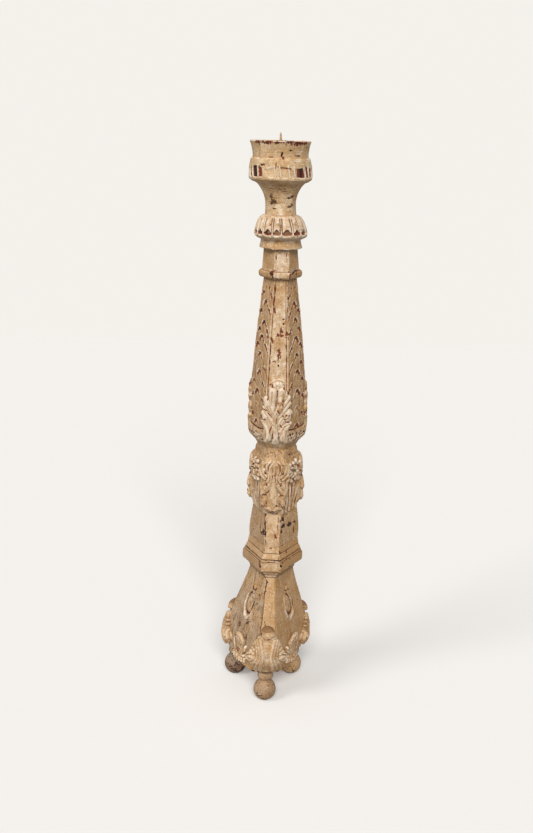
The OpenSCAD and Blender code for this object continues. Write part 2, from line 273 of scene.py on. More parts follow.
def bend(p):
    """Bends and twists points about the axis as the whole stick is bent."""
    turn = np.radians(np.interp(p[:, 2], BEND_Z, BEND_TURN))
    c, s = np.cos(turn), np.sin(turn)
    shift = np.interp(p[:, 2], BEND_Z, BEND_SHIFT)
    return np.stack([p[:, 0] * c - p[:, 1] * s + shift, p[:, 0] * s + p[:, 1] * c, p[:, 2]], axis=1)


def wear_and_shade(shell, seed, grain=0.12, dents=0.35, chips=0.5, chip_size=9.0, patchy=0.5, recess_colour=1.0, crests=1.0):
    """Hand-tool unevenness, grain and paint losses as geometry, then the paint values that go with them, with painted
    shade darkening the recesses by their depth, red ground and dark in the deepest ones, and a painted highlight along
    with worn paint on the ridges.
    """
    n = shell.normals()
    p = shell.p
    shift = dents * fbm(p, 34, 2, seed) + 0.45 * dents * fbm(p, 9, 2, seed + 5)
    shift += grain * fbm(p, [2, 2, 34], 2, seed + 9)
    ridge = -shell.hollows(6, 1.0)
    edge = step(ridge, 0.05, 0.4)
    size = np.array([chip_size, chip_size, chip_size * 1.6])
    loss = fbm(p, size, 4, seed + 20) + 0.22 * edge
    zone = fbm(p, 55, 2, seed + 31)
    limit = 0.56 - 0.14 * chips - 0.12 * zone
    lost = step(loss, limit, limit + 0.09) if chips else 0 * loss
    shell.p = p + n * (shift - 0.5 * lost)[:, None]
    fine = shell.hollows(4, 0.45)
    mid = shell.hollows(16, 1.1)
    broad = shell.hollows(70, 2.6)
    patches = fbm(shell.p, [11, 11, 16], 3, seed + 40)
    kind = fbm(shell.p, 15, 2, seed + 50)
    # Painted shade with dirt: the deeper a recess lies, the darker it is made
    shade = step(0.55 * mid + 0.6 * broad + 0.3 * fine, 0.05, 1.05) * recess_colour
    shell.more(deep=shade)
    depth = 0.5 * mid + 0.5 * broad + 0.25 * fine + 0.35 * patchy * patches
    red = step(depth, 0.62, 0.86) * step(kind, -0.55, -0.1) * recess_colour
    # Dark in the deepest recesses
    deepest_dark = step(depth - 0.25 * kind, 0.85, 1.15) * recess_colour
    shell.more(red=np.maximum(red, lost * step(kind, -0.3, 0.1)))
    shell.more(dark=np.maximum(deepest_dark, 0.9 * lost * step(-kind, -0.2, 0.2)))
    # Painted highlight as well as worn paint: ridges made paler
    crest = step(-0.6 * fine - 0.5 * mid + 0.75 * patches, 0.25, 0.85)
    shell.more(pale=crests * crest)


def mark(shell, centre, half, tilt=0.0, seed=1, red=1.0, dark=0.0, facing=(0, -1, 0), depth=0.7, broken=0.7,
         fleck=(2.2, 3.2)):
    """A paint loss of a given place and size: centre [x, y, z] and half sizes across and up, tilted in degrees.
    Broken says how far it falls apart into flecks, and fleck is their size across and up."""
    p = shell.p
    d = p - np.asarray(centre, float)
    facing = np.asarray(facing, float)
    across = np.cross(facing, [0, 0, 1.0])
    across /= np.linalg.norm(across)
    u, v = d @ across, d[:, 2]
    c, s = math.cos(math.radians(tilt)), math.sin(math.radians(tilt))
    tu, tv = u * c + v * s, v * c - u * s
    reach = 2 * (half[0] + half[1]) + 4
    near = np.flatnonzero((d @ facing > -25) & (np.abs(u) < reach) & (np.abs(v) < reach))
    if not len(near):
        return
    tu, tv = tu[near], tv[near]
    inside = 1 - np.sqrt((tu / half[0]) ** 2 + (tv / half[1]) ** 2)
    cell = np.stack([tu / fleck[0], tv / fleck[1], np.full(len(near), seed * 7.7)], axis=1)
    m = step(inside + broken * fbm(cell, 1.0, 3, seed), 0.1, 0.3) * (inside > -0.8)
    n = shell.normals()[near]
    shell.p[near] -= n * (depth * m)[:, None]
    shell.red[near] = np.maximum(shell.red[near], m * red)
    shell.dark[near] = np.maximum(shell.dark[near], m * dark)
    shell.pale[near] *= 1 - m


def mark_side(shell, profile, side, q, z, half, tilt=0.0, seed=1, red=1.0, dark=0.0, depth=0.7, broken=0.7,
              fleck=(2.2, 3.2)):
    """A mark on one of the six sides of a three-sided piece, q mm from the side's middle. Even sides are narrow."""
    out, along = directions(60 * side)
    reach = profile.flat(z) if side % 2 else profile.reach(z)
    mark(shell, out * reach + along * q + [0, 0, z], half, tilt, seed, red, dark, out, depth, broken, fleck)


def mark_round(shell, axis_radius, azimuth, z, half, tilt=0.0, seed=1, red=1.0, dark=0.0, depth=0.7, broken=0.7,
               fleck=(2.2, 3.2)):
    """A mark on a turned piece, at an azimuth in degrees (270 is the front)."""
    out = directions(azimuth + 90)[0]
    mark(shell, out * axis_radius + [0, 0, z], half, tilt, seed, red, dark, out, depth, broken, fleck)


def add_object(name, data):
    obj = bpy.data.objects.new(name, data)
    bpy.context.scene.collection.objects.link(obj)
    return obj


def piece(name, shell, node, material=None):
    """Makes the Blender object from a shell, with its paint values, and hides the CAD node it stands for."""
    mesh = bpy.data.meshes.new(name)
    q, t = shell.quads, shell.tris
    points = bend(shell.p) * MM
    loops = np.concatenate([q.reshape(-1), t.reshape(-1)])
    starts = np.concatenate([np.arange(len(q)) * 4, len(q) * 4 + np.arange(len(t)) * 3])
    mesh.vertices.add(len(points))
    mesh.vertices.foreach_set("co", points.astype(np.float32).ravel())
    mesh.loops.add(len(loops))
    mesh.loops.foreach_set("vertex_index", loops.astype(np.int32))
    mesh.polygons.add(len(starts))
    mesh.polygons.foreach_set("loop_start", starts.astype(np.int32))
    mesh.update(calc_edges=True)
    mesh.validate()
    mesh.shade_smooth()
    # Painted light: the paint is made paler near the top, so that the upper pieces read brighter
    pale = shell.pale + 0.2 * step(shell.p[:, 2], 890, 960) * step(1050 - shell.p[:, 2], 0, 8)
    none, full = np.zeros(len(points)), np.ones(len(points))
    for label, values in (("paint", (shell.red, shell.dark, pale, full)),
                          ("tone", (shell.grey, shell.deep, shell.ochre, full)),
                          ("skin", (shell.pits, none, none, full))):
        layer = mesh.attributes.new(label, "FLOAT_COLOR", "POINT")
        layer.data.foreach_set("color", np.clip(np.stack(values, 1), 0, 1).astype(np.float32).ravel())
    mesh.materials.append(material or PAINT)
    obj = add_object(name, mesh)
    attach(obj, "root")
    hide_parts(node)


# ------------------------------------------------------------------ materials


def srgb(r, g, b):
    """Linear colour, with alpha, from 0-255 display values."""
    return tuple(((c / 255 + 0.055) / 1.055) ** 2.4 if c > 10 else c / 255 / 12.92 for c in (r, g, b)) + (1.0,)


class Nodes:
    """Short calls for building a node tree."""

    def __init__(self, name):
        self.material = bpy.data.materials.new(name)
        self.material.use_nodes = True
        self.tree = self.material.node_tree
        self.shader = self.tree.nodes["Principled BSDF"]
        self.coords = self.tree.nodes.new("ShaderNodeTexCoord").outputs["Object"]

    def link(self, a, b):
        self.tree.links.new(a, b)

    def feed(self, socket, value):
        """Sets a socket to a plain value, or links another socket to it."""
        if isinstance(value, (int, float, tuple)):
            socket.default_value = value
        else:
            self.link(value, socket)

    def surface(self, **inputs):
        """Feeds the shader's inputs. An underscore stands for a space in a name."""
        for name, value in inputs.items():
            self.feed(self.shader.inputs[name.replace("_", " ")], value)

    def add(self, kind, **inputs):
        """A new node with some inputs fed. An underscore stands for a space in a name."""
        node = self.tree.nodes.new("ShaderNode" + kind)
        for name, value in inputs.items():
            self.feed(node.inputs[name.replace("_", " ")], value)
        return node

    def attribute(self, name):
        node = self.add("Attribute")
        node.attribute_name = name
        split = self.add("SeparateColor")
        self.link(node.outputs["Color"], split.inputs[0])
        return split.outputs

    def noise(self, scale, detail=4.0, stretch=(1, 1, 1), rough=0.6):
        place = self.add("Mapping", Scale=tuple(scale * s for s in stretch), Vector=self.coords)
        return self.add("TexNoise", Scale=1.0, Detail=detail, Roughness=rough, Vector=place.outputs[0]).outputs[0]

    def ramp(self, value, low, high):
        node = self.add("MapRange", From_Min=low, From_Max=high, Value=value)
        node.interpolation_type = "SMOOTHSTEP"
        return node.outputs[0]

    def math(self, kind, a, b=0.0):
        node = self.add("Math")
        node.operation = kind
        for socket, value in zip(node.inputs, (a, b)):
            self.feed(socket, value)
        return node.outputs[0]

    def mix(self, factor, a, b):
        node = self.add("Mix")
        node.data_type = "RGBA"
        for socket, value in ((0, factor), (6, a), (7, b)):
            self.feed(node.inputs[socket], value)
        return node.outputs[2]

    def over(self, colour, top, factor, share):
        """Lays a top colour over another one, at a share of the factor."""
        return self.mix(self.math("MULTIPLY", factor, share), colour, top)

    def ragged(self, value, blotch, amount):
        """A paint value with its edge broken up by noise."""
        return self.math("ADD", value, self.math("MULTIPLY", self.math("SUBTRACT", blotch, 0.5), amount))

    def bump(self, height, distance, strength=1.0, under=None):
        node = self.add("Bump", Strength=strength, Distance=distance, Height=height)
        if under is not None:
            self.link(under, node.inputs["Normal"])
        return node.outputs[0]


TAN = srgb(222, 192, 154)
OCHRE = srgb(192, 148, 96)
CREAM = srgb(238, 221, 198)
GREY = srgb(158, 140, 122)
RED = srgb(122, 58, 42)
DARK = srgb(66, 40, 32)
# Dirt brown, also used for painted shade in recesses
DIRT_AND_SHADE = srgb(116, 80, 52)


def painted_wood(name, light=TAN, deep=OCHRE, cream=CREAM, grain=(1, 1, 0.06), lines=0.4):
    """Old tan paint over red ground on wood: mottled, creamier where worn, with a painted highlight on ridges and
    painted light on the upper pieces, darker in hollows as painted shade along with dirt, red and dark where it is
    lost. Grain is the stretch of its fine lines, and lines how strongly they show."""
    n = Nodes(name)
    red, dark, pale = n.attribute("paint")[:3]
    grey, hollow, ochre = n.attribute("tone")[:3]
    pits = n.attribute("skin")[0]
    mottle = n.noise(38, 6)
    blotch = n.noise(120, 5, rough=0.7)
    streak = n.noise(420, 5, grain, 0.7)
    speck = n.noise(900, 4, rough=0.75)
    colour = n.mix(n.ramp(mottle, 0.36, 0.66), light, deep)
    colour = n.over(colour, cream, n.ramp(blotch, 0.52, 0.72), 0.55)
    colour = n.over(colour, deep, n.ramp(n.noise(210, 5, rough=0.7), 0.52, 0.74), 0.5)
    colour = n.mix(ochre, colour, OCHRE)
    colour = n.over(colour, DIRT_AND_SHADE, n.ramp(streak, 0.5, 0.68), lines)
    worms = n.math("ABSOLUTE", n.math("SUBTRACT", n.noise(200, 4, rough=0.6), 0.5))
    colour = n.over(colour, DIRT_AND_SHADE, n.math("SUBTRACT", 1.0, n.ramp(worms, 0.008, 0.035)), 0.42)
    colour = n.over(colour, cream, n.ramp(n.noise(310, 4, rough=0.65), 0.56, 0.66), 0.5)
    colour = n.over(colour, GREY, grey, 0.75)
    # Cream where the pale value is set: worn paint, and also painted highlight on ridges and painted light on the upper
    # pieces
    colour = n.over(colour, cream, n.ramp(n.ragged(pale, blotch, 1.2), 0.3, 0.75), 0.9)
    colour = n.over(colour, DIRT_AND_SHADE, n.ramp(speck, 0.55, 0.75), 0.45)
    # Painted shade with dirt: darker where the recess value is high
    colour = n.over(colour, DIRT_AND_SHADE, n.ramp(n.ragged(hollow, blotch, 0.7), 0.15, 0.95), 0.8)
    colour = n.over(colour, DARK, n.ramp(n.noise(330, 3, rough=0.6), 0.59, 0.63), pits)
    ragged = n.math("MULTIPLY", n.math("SUBTRACT", n.noise(420, 4), 0.5), 0.9)
    bare = n.ramp(n.math("ADD", red, ragged), 0.38, 0.6)
    colour = n.mix(bare, colour, RED)
    colour = n.mix(n.ramp(n.math("ADD", dark, ragged), 0.38, 0.62), colour, DARK)
    rough = n.add("MapRange", To_Min=0.5, To_Max=0.85, Value=mottle).outputs[0]
    fine = n.bump(speck, 0.0005, 0.5, n.bump(streak, 0.0009, 0.6))
    n.surface(Base_Color=colour, Roughness=rough, Specular_IOR_Level=0.25,
              Normal=n.bump(n.math("SUBTRACT", 1.0, bare), 0.0004, 0.6, fine))
    return n.material


def bare_wood(name):
    n = Nodes(name)
    streak = n.noise(260, 5, (1, 1, 0.05))
    n.surface(Base_Color=n.mix(n.ramp(streak, 0.35, 0.7), srgb(124, 88, 56), srgb(84, 56, 34)), Roughness=0.85,
              Normal=n.bump(streak, 0.0008, 0.6))
    return n.material


def rusted_iron(name):
    n = Nodes(name)
    patch = n.noise(600, 5)
    n.surface(Base_Color=n.mix(n.ramp(patch, 0.45, 0.62), srgb(52, 44, 40), srgb(96, 58, 38)), Roughness=0.6,
              Metallic=0.7, Normal=n.bump(patch, 0.0003, 0.7))
    return n.material


PAINT = painted_wood("old_tan_paint")
TURNED = painted_wood("old_tan_paint_on_turned_wood", grain=(0.08, 0.08, 1.0), lines=0.38)
# Painted light: a lighter copy of the paint for turned wood, to brighten the cup, whose lower part faces down and gets
# less light
CUP_PAINT_WITH_PAINTED_LIGHT = painted_wood("old_tan_paint_on_cup_with_painted_light", srgb(236, 207, 166), srgb(204, 162, 110), grain=(0.08, 0.08, 1.0),
                         lines=0.38)
GREYED = painted_wood("old_grey_paint", srgb(142, 118, 96), srgb(108, 86, 68), srgb(176, 154, 132))
WOOD = bare_wood("bare_wood")
IRON = rusted_iron("rusted_iron")

# ------------------------------------------------------------------ turned pieces


def lathe(profile, around=384, spacing=1.1):
    """Rings round a profile [[radius, z], ...], resampled evenly, as points [level, point, xyz]."""
    profile = np.asarray(profile, float)
    lengths = np.concatenate([[0], np.cumsum(np.linalg.norm(np.diff(profile, axis=0), axis=1))])
    s = np.linspace(0, lengths[-1], int(lengths[-1] / spacing) + 2)
    r = np.interp(s, lengths, profile[:, 0])
    z = np.interp(s, lengths, profile[:, 1])
    kernel = np.array([1, 2, 1]) / 4.0
    r[1:-1] = np.convolve(r, kernel, "valid")
    z[1:-1] = np.convolve(z, kernel, "valid")
    angle = np.arange(around) / around * 2 * math.pi
    return np.stack([r[:, None] * np.cos(angle), r[:, None] * np.sin(angle), np.repeat(z[:, None], around, 1)], -1)


def turned_shell(profile, carve=None, around=384, spacing=1.1):
    """A turned solid. carve(angle, z, r) gives how far each point moves outwards."""
    shell = Shell(*ring_grid(lathe(profile, around, spacing)))
    if carve is not None:
        angle, z, r = polar(shell)
        shell.p[:, :2] *= ((r + carve(angle, z, r)) / np.maximum(r, 1e-6))[:, None]
    return shell


def polar(shell):
    """Angle, height and distance from the axis of every point."""
    x, y, z = shell.p.T
    return np.arctan2(y, x), z, np.hypot(x, y)


CUP_LOW, RIM = span("candle_cup")
CUP_FLOOR = RIM - 42
BAND_LOW, BAND_HEIGHT = RIM - 70, 36.0
FLUTES = 24
KNOP_LOW, KNOP_TOP = span("flared_collar")[1], CUP_LOW + 30     # the cup's tenon is 30 mm long
LOBES = 16


def cup_profile():
    """From the foot of the stalk, up the outside, over the rim and down into the hollow."""
    stalk = [[0.5, KNOP_TOP], [31.2, KNOP_TOP], [30.6, KNOP_TOP + 6], [30.2, KNOP_TOP + 14]]
    flare = []
    for i in range(1, 15):
        u = i / 14
        flare.append([30.2 + 26.5 * (1 - (1 - u**1.7) ** (1 / 1.7)), RIM - 120 + 43.5 * u])
    lip = [[59.5, RIM - 74.0], [61.6, RIM - 73.0], [62.2, RIM - 71.5], [62.2, RIM - 68]]
    band = [[61.6, RIM - 56], [60.6, RIM - 44], [59.4, RIM - 36], [57.8, RIM - 32.6], [55.0, RIM - 31.2]]
    wall = [[54.6, RIM - 29], [54.9, RIM - 22], [56.1, RIM - 14], [58.2, RIM - 6], [60.0, RIM - 2], [60.2, RIM - 0.6]]
    hollow = [[59.0, RIM], [50.5, RIM], [49.2, RIM - 1], [46.5, RIM - 6], [46, RIM - 10], [46, RIM - 40.5],
              [44.5, CUP_FLOOR]]
    return stalk + flare + lip + band + wall + hollow + [[0.5, CUP_FLOOR]]


def cup_carving(angle, z, r):
    """Arched sunk flutes with thin leaning ribs between them, round the lower part of the band."""
    outside = step(r, 55.5, 57.5)
    v = (z - BAND_LOW) / BAND_HEIGHT
    wobble = 0.06 * np.sin(angle * 5 + 1.0) + 0.05 * np.sin(angle * 11)
    phase = ((angle + wobble + 0.10 * (v - 0.5)) * FLUTES / (2 * math.pi)) % 1.0
    across = np.abs(phase - 0.5) * 2
    top = 0.62 - 0.1 * across**2 + 0.07 * np.sin(angle * 7)
    inside = step(0.78 - across, 0.0, 0.14) * step(v, 0.05, 0.1) * step(top - v, 0.0, 0.08)
    rib = step(across, 0.80, 0.93) * step(v, 0.03, 0.1) * step(0.76 - v, 0, 0.1)
    return outside * (-3.4 * inside * open_flutes(angle) + 0.9 * rib)


def open_flutes(angle):
    """The flutes are clogged with paint at the middle of the front and at the back, and open at both sides."""
    side = np.abs(np.sin((angle - math.radians(-92)) / 2))
    return 0.35 + 0.65 * step(side, 0.22, 0.42)


def make_cup():
    shell = turned_shell(cup_profile(), cup_carving, 448, 0.9)
    p = shell.p
    angle, z, r = polar(shell)
    v = (z - BAND_LOW) / BAND_HEIGHT
    sunk = step(-cup_carving(angle, z, r), 1.0, 2.6)
    lines = 0.22 * fbm(np.stack([p[:, 0] * 0.12, p[:, 1] * 0.12, p[:, 2]], 1), 2.2, 3, 15) * step(r, 24, 28)
    shell.p = p + shell.normals() * lines[:, None]
    wear_and_shade(shell, 11, grain=0.0, dents=0.5, chips=0.3, chip_size=8)
    tones = fbm(shell.p, [14, 14, 30], 2, 19)
    shell.more(dark=sunk * step(tones, 0.15, 0.45) * (open_flutes(angle) > 0.6), red=sunk * step(v, -0.1, 0.2))
    # Painted shade in the sunk flutes; the flutes at the far left are also made dark
    shell.more(dark=0.9 * sunk * step(-p[:, 0], 43, 45), deep=0.7 * sunk)
    shell.ochre = np.clip(0.2 + 0.6 * tones, 0.0, 0.6) * (1 - 0.6 * step(v, 0.0, 0.3) * step(1.1 - v, 0, 0.2))
    shell.pits = np.full(len(r), 0.3)
    # Painted light: the whole cup is made paler, the stalk more, to brighten parts that face down and get less light
    shell.pale = shell.pale + 0.18 + 0.25 * step(32 - r, 0, 2)
    rim = [(240, 9, 5), (247, 6, 7), (263, 5, 6), (252, 4, 5), (292, 12, 7), (303, 8, 8), (312, 7, 7), (226, 6, 8),
           (219, 6, 6), (275, 14, 2.5), (325, 8, 6), (20, 12, 6), (75, 16, 7), (130, 10, 6), (170, 12, 7)]
    for i, (azimuth, across, up) in enumerate(rim):
        mark_round(shell, 59, azimuth, RIM - 3, (across, 0.75 * up), 0, 100 + i, 0.8, 0.5, 0.5, 1.3, (1.5, 3.0))
    body = [(273, 25, 2.2, 6, 24, 0.5, 1), (275, 31, 3, 3, 0, 0.8, 0.4), (292, 17, 5, 2.4, 0, 0.7, 0.6),
            (250, 30, 6, 1.6, 0, 0.7, 0.3), (309, 27, 7, 1.4, 0, 0.7, 0.8), (262, 45, 1.4, 9, 12, 0.6, 0.2),
            (280, 50, 12, 1.4, 5, 0.8, 0.1), (235, 44, 9, 3, 0, 0.6, 0.6)]
    for i, (azimuth, down, across, up, tilt, red, dark) in enumerate(body):
        mark_round(shell, 57, azimuth, RIM - down, (across, up), tilt, 120 + i, red, dark, 0.5, 0.8)
    stalk = [(238, 106, 10, 5, 25), (246, 114, 9, 4, 25), (234, 118, 6, 5, 30), (298, 107, 6, 2.4, 0),
             (312, 105, 6, 4, 0), (302, 124, 7, 2.6, 0), (314, 121, 6, 4, 0), (262, 90, 20, 0.9, 0),
             (285, 95, 14, 0.8, 0), (268, 84, 16, 0.9, 0), (244, 128, 6, 3, 0), (30, 110, 10, 7, 10),
             (90, 118, 14, 5, 0), (150, 108, 12, 6, -15)]
    for i, (azimuth, down, across, up, tilt) in enumerate(stalk):
        mark_round(shell, 32, azimuth, RIM - down, (across, up), tilt, 140 + i, 0.1, 0.62, 0.4, 1.3, (3.4, 0.9))
    piece("cup_carved", shell, "candle_cup", CUP_PAINT_WITH_PAINTED_LIGHT)


def knop_profile():
    shoulder = 36.0
    points = [[0.5, KNOP_LOW], [40.3, KNOP_LOW]]
    for i in range(9):
        u = i / 8
        points.append([40.5 + 12.4 * math.sin(u * math.pi / 2) ** 0.9,
                       KNOP_LOW + 1.0 + (KNOP_TOP - shoulder - KNOP_LOW - 1.5) * u])
    for i in range(1, 15):
        t = 1 - i / 14
        points.append([32 + 20.9 * t**0.42, KNOP_TOP - shoulder * t])
    return points + [[0.5, KNOP_TOP]]


def knop_parts(angle, z):
    """Lobe, gap between lobes, fillet ridge, sunk pocket and small lower oval, each from 0 to 1."""
    v = (z - KNOP_LOW) / (KNOP_TOP - KNOP_LOW)
    wobble = 0.025 * np.sin(3 * angle + 0.7) + 0.02 * np.sin(7 * angle)
    phase = ((angle + wobble + math.radians(90)) * LOBES / (2 * math.pi)) % 1.0
    across = np.abs(phase - 0.5) * 2            # 0 in the middle of a lobe, 1 on the fillet between two
    width = 0.72 - 0.12 * step(v, 0.5, 0.95)
    zone = step(v, 0.27, 0.33) * step(0.94 - v, 0, 0.08)
    arch = step(0.88 - 0.25 * across**2 - v, 0, 0.06)
    lobe = np.sqrt(np.clip(1 - (across / width) ** 2, 0, 1)) * zone * arch
    gap = step(across, width - 0.04, width + 0.06) * zone
    fillet = step(across, 0.86, 0.95) * step(v, 0.2, 0.28) * step(1.0 - v, 0.01, 0.06)
    pocket = step(v, 0.23, 0.27) * step(0.42 - 0.08 * np.cos(phase * 2 * math.pi) - v, 0, 0.05)
    pocket *= step(0.84 - across, 0, 0.08)
    oval = np.sqrt(np.clip(1 - (across / 0.75) ** 2 - ((v - 0.14) / 0.085) ** 2, 0, 1))
    return lobe, gap * (1 - fillet), fillet, pocket, oval


def knop_carving(angle, z, r):
    lobe, gap, fillet, pocket, oval = knop_parts(angle, z)
    skin = step(r, 33, 37)
    return skin * (1.6 * lobe * (1 - pocket) - 2.4 * gap - 3.4 * pocket + fillet + 1.8 * oval)


def make_knop():
    shell = turned_shell(knop_profile(), knop_carving, 512, 0.75)
    angle, z, _ = polar(shell)
    _, gap, _, pocket, oval = knop_parts(angle, z)
    wear_and_shade(shell, 21, grain=0.05, dents=0.35, chips=0.25, chip_size=6, patchy=0.7)
    patch = fbm(shell.p, 9, 3, 25)
    shell.more(red=step(pocket + 0.9 * patch, 0.62, 0.92))
    # Painted shade in the gaps between lobes and in the pockets
    shell.more(dark=step(pocket + fbm(shell.p, 9, 3, 26), 1.05, 1.3), deep=np.maximum(0.9 * gap, 0.8 * pocket))
    shell.more(red=gap * step(patch, 0.0, 0.25), dark=gap * step(-patch, 0.15, 0.3))
    worn = 0.45 + 0.55 * step(np.abs(shell.p[:, 0]), 14, 26)
    shell.red *= worn                            # the losses are fainter at the front
    shell.dark *= worn
    # Painted light: the knop is made paler outside its gaps and pockets, to brighten it
    shell.pale = np.maximum(0.6 * shell.pale, 0.3 * (1 - gap) * (1 - pocket))
    shell.ochre = np.clip(0.15 + 0.5 * patch, 0, 0.6) * (1 - oval)
    piece("knop_gadrooned", shell, "gadrooned_knop")


def make_collar():
    low, high = span("flared_collar")
    profile = [[13, low + 0.2], [40, low + 0.2], [42.4, low + 0.4], [43.2, low + 2]]
    profile += [[43.2 - 3.0 * math.sin(u / 8 * math.pi / 2), low + 3 + (high - low - 4) * u / 8] for u in range(1, 9)]
    profile += [[40.0, high], [13, high]]
    shell = turned_shell(profile, None, 360, 0.8)
    angle = polar(shell)[0]
    ring = np.stack([40 * np.cos(angle), 40 * np.sin(angle), 0 * angle], axis=1)
    ragged = 1.6 * fbm(ring, 10, 3, 5) + 0.5
    shell.p[:, 2] += step(low + 7 - shell.p[:, 2], 0, 6) * ragged
    wear_and_shade(shell, 27, grain=0.05, dents=0.5, chips=0.35, chip_size=7)
    piece("collar_flared", shell, "flared_collar")


def make_spike():
    high = span("pricket_spike")[1]
    profile = [[0.05, CUP_FLOOR], [2.7, CUP_FLOOR], [2.7, high - 22], [2.4, high - 14], [1.8, high - 5],
               [1.2, high - 0.8], [0.05, high]]
    shell = turned_shell(profile, None, 24, 0.8)
    shell.p[:, 0] += 0.5 * np.sin((shell.p[:, 2] - CUP_FLOOR) / 22)
    wear_and_shade(shell, 31, grain=0.0, dents=0.12, chips=0.2, chip_size=4, recess_colour=0.0)
    piece("spike", shell, "pricket_spike")


def foot_profile():
    top = span("bottom_board")[0]
    points = [[0.3, 0.0], [11.0, 0.0]]
    for i in range(19):
        a = math.radians(-64 + i * 7.0)
        if a < math.radians(48):
            points.append([24.8 * math.cos(a), 22.6 + 24.6 * math.sin(a)])
    points += [[14.6, 43.6], [13.2, 46.6], [13.0, 48.4], [13.4, 49.2]]
    for i in range(9):
        a = math.radians(-80 + i * 20)
        points.append([12.0 + 5.4 * math.cos(a), 56.2 + 6.6 * math.sin(a)])
    return points + [[14.4, 63.2], [14.4, top], [0.3, top]]


def make_feet():
    reach = -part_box("foot_front")[0][1] / MM - 25.5
    for i, (side, turn) in enumerate(CORNERS.items()):
        shell = turned_shell(foot_profile(), None, 160, 0.9)
        wear_and_shade(shell, 41 + 7 * i, grain=0.08, dents=0.55, chips=0.35, chip_size=8)
        shell.grey[:] = 0.35
        # Painted light: the right foot, which stands in shade, is spared most of the darkening that the front and left
        # feet get
        shell.more(deep=0.05 if side == "right" else 0.5)
        shell.pits[:] = 0.8
        if side == "front":
            mark(shell, [-13, -21, 15], (10, 1.5), -26, 171, 0.4, 1.0, broken=0.4)
            mark(shell, [-17, -17, 20], (2, 4), 0, 172, 0.4, 1.0, broken=0.4)
            mark(shell, [-3, -20, 10], (5, 1.2), 10, 173, 0.4, 0.9)
        elif side == "left":
            shell.grey[:] = 0.1 + 0.45 * step(fbm(shell.p, 12, 3, 48), -0.2, 0.4)
            shell.pale = 0.25 + 0.5 * step(shell.p[:, 2], 20, 38)
            shell.ochre = 0.6 * step(fbm(shell.p, 14, 2, 47) + 0.02 * shell.p[:, 0], -0.1, 0.3)
            worn = fbm(shell.p, [9, 9, 6], 3, 49) + 0.012 * (20 - shell.p[:, 2]) + 0.008 * shell.p[:, 0]
            shell.more(dark=step(worn, 0.08, 0.3))
        elif side == "right":
            # Painted light: no grey on the right foot, to lighten it against its shade
            shell.grey[:] = 0.0
            shell.ochre = np.full(len(shell.p), 0.5)
            worn = fbm(shell.p, [5, 5, 12], 3, 50) + 0.012 * (12 - shell.p[:, 2]) - 0.008 * shell.p[:, 0]
            shell.more(dark=step(worn, 0.2, 0.34))
        shell.p[shell.p[:, 2] < 0.6, 2] = 0.0        # stands flat
        shell.p += reach * directions(turn)[0]
        piece(f"ball_foot_{side}", shell, f"foot_{side}", GREYED if side == "left" else TURNED)


# ------------------------------------------------------------------ three-sided sections


CAP_RINGS = 6


class Section:
    """A grid round a three-sided section, with each point's side, place across it and height, ready for carving."""

    def __init__(self, profile, z0, z1, spacing=1.2, soften=2):
        self.profile = profile
        z = np.linspace(z0, z1, max(int((z1 - z0) / spacing) + 1, 4))
        wide, narrow = profile.wide(z), profile.narrow(z)
        n_narrow = max(int(narrow.max() / spacing), 6)
        n_wide = max(int(wide.max() / spacing), 8)
        rows, side, across = [], [], []
        for k in range(6):
            n = n_narrow if k % 2 == 0 else n_wide
            t = np.arange(n) / n - 0.5
            length = narrow if k % 2 == 0 else wide
            reach = profile.reach(z) if k % 2 == 0 else profile.flat(z)
            out, along = (way[:2] for way in directions(60 * k))
            xy = reach[:, None, None] * out + (length[:, None] * t)[..., None] * along
            rows.append(np.concatenate([xy, np.repeat(z[:, None, None], n, 1)], axis=2))
            side.append(np.full(n, k))
            across.append(t)
        grid = np.concatenate(rows, axis=1)
        for _ in range(soften):
            grid[..., :2] = 0.5 * grid[..., :2] + 0.25 * (np.roll(grid, 1, 1) + np.roll(grid, -1, 1))[..., :2]
        full = with_caps(grid, 0.97, CAP_RINGS)
        self.shell = Shell(*ring_grid(full))
        nz = len(full)
        side, across = np.concatenate(side), np.concatenate(across)
        self.side = np.concatenate([np.tile(side, nz), [-1, -1]])
        self.u = np.concatenate([np.tile(across, nz), [0, 0]])
        level = np.concatenate([np.full(CAP_RINGS, z[0]), z, np.full(CAP_RINGS, z[-1])])
        self.z = np.concatenate([np.repeat(level, len(side)), [z[0], z[-1]]])
        body = np.concatenate([np.zeros(CAP_RINGS), np.ones(len(z)), np.zeros(CAP_RINGS)])
        self.body = np.concatenate([np.repeat(body, len(side)), [0, 0]])
        self.length = np.where(self.side % 2 == 0, profile.narrow(self.z), profile.wide(self.z))
        self.q = self.u * self.length
        a = np.radians(60 * np.maximum(self.side, 0) - 90)
        self.out = np.stack([np.cos(a), np.sin(a), 0 * a], axis=1)

    def push(self, amount):
        """Moves points outwards along their side's normal."""
        self.shell.p += self.out * (amount * self.body)[:, None]


def panel_frame(s, inset=3.6, groove=1.2, ridge=0.9):
    """A groove inside each long edge of the narrow sides, and an uneven raised fillet on the arris."""
    narrow = (s.side % 2 == 0) & (s.side >= 0)
    wander = 0.5 * fbm(s.shell.p, 25, 2, 4)
    gap = s.length / 2 - np.abs(s.q) + wander
    cut = np.exp(-(((gap - inset) / 1.0) ** 2)) * narrow
    lift = step(inset - 0.6 - gap, 0, 1.4) * narrow + step(3.0 - gap, 0, 1.2) * ~narrow
    return ridge * lift - groove * cut, cut


SCALE_PITCH = 36.0
SCALE_LENGTH = 46.0
SCALE_COLUMN = 0.27       # distance between columns as a share of the side's width


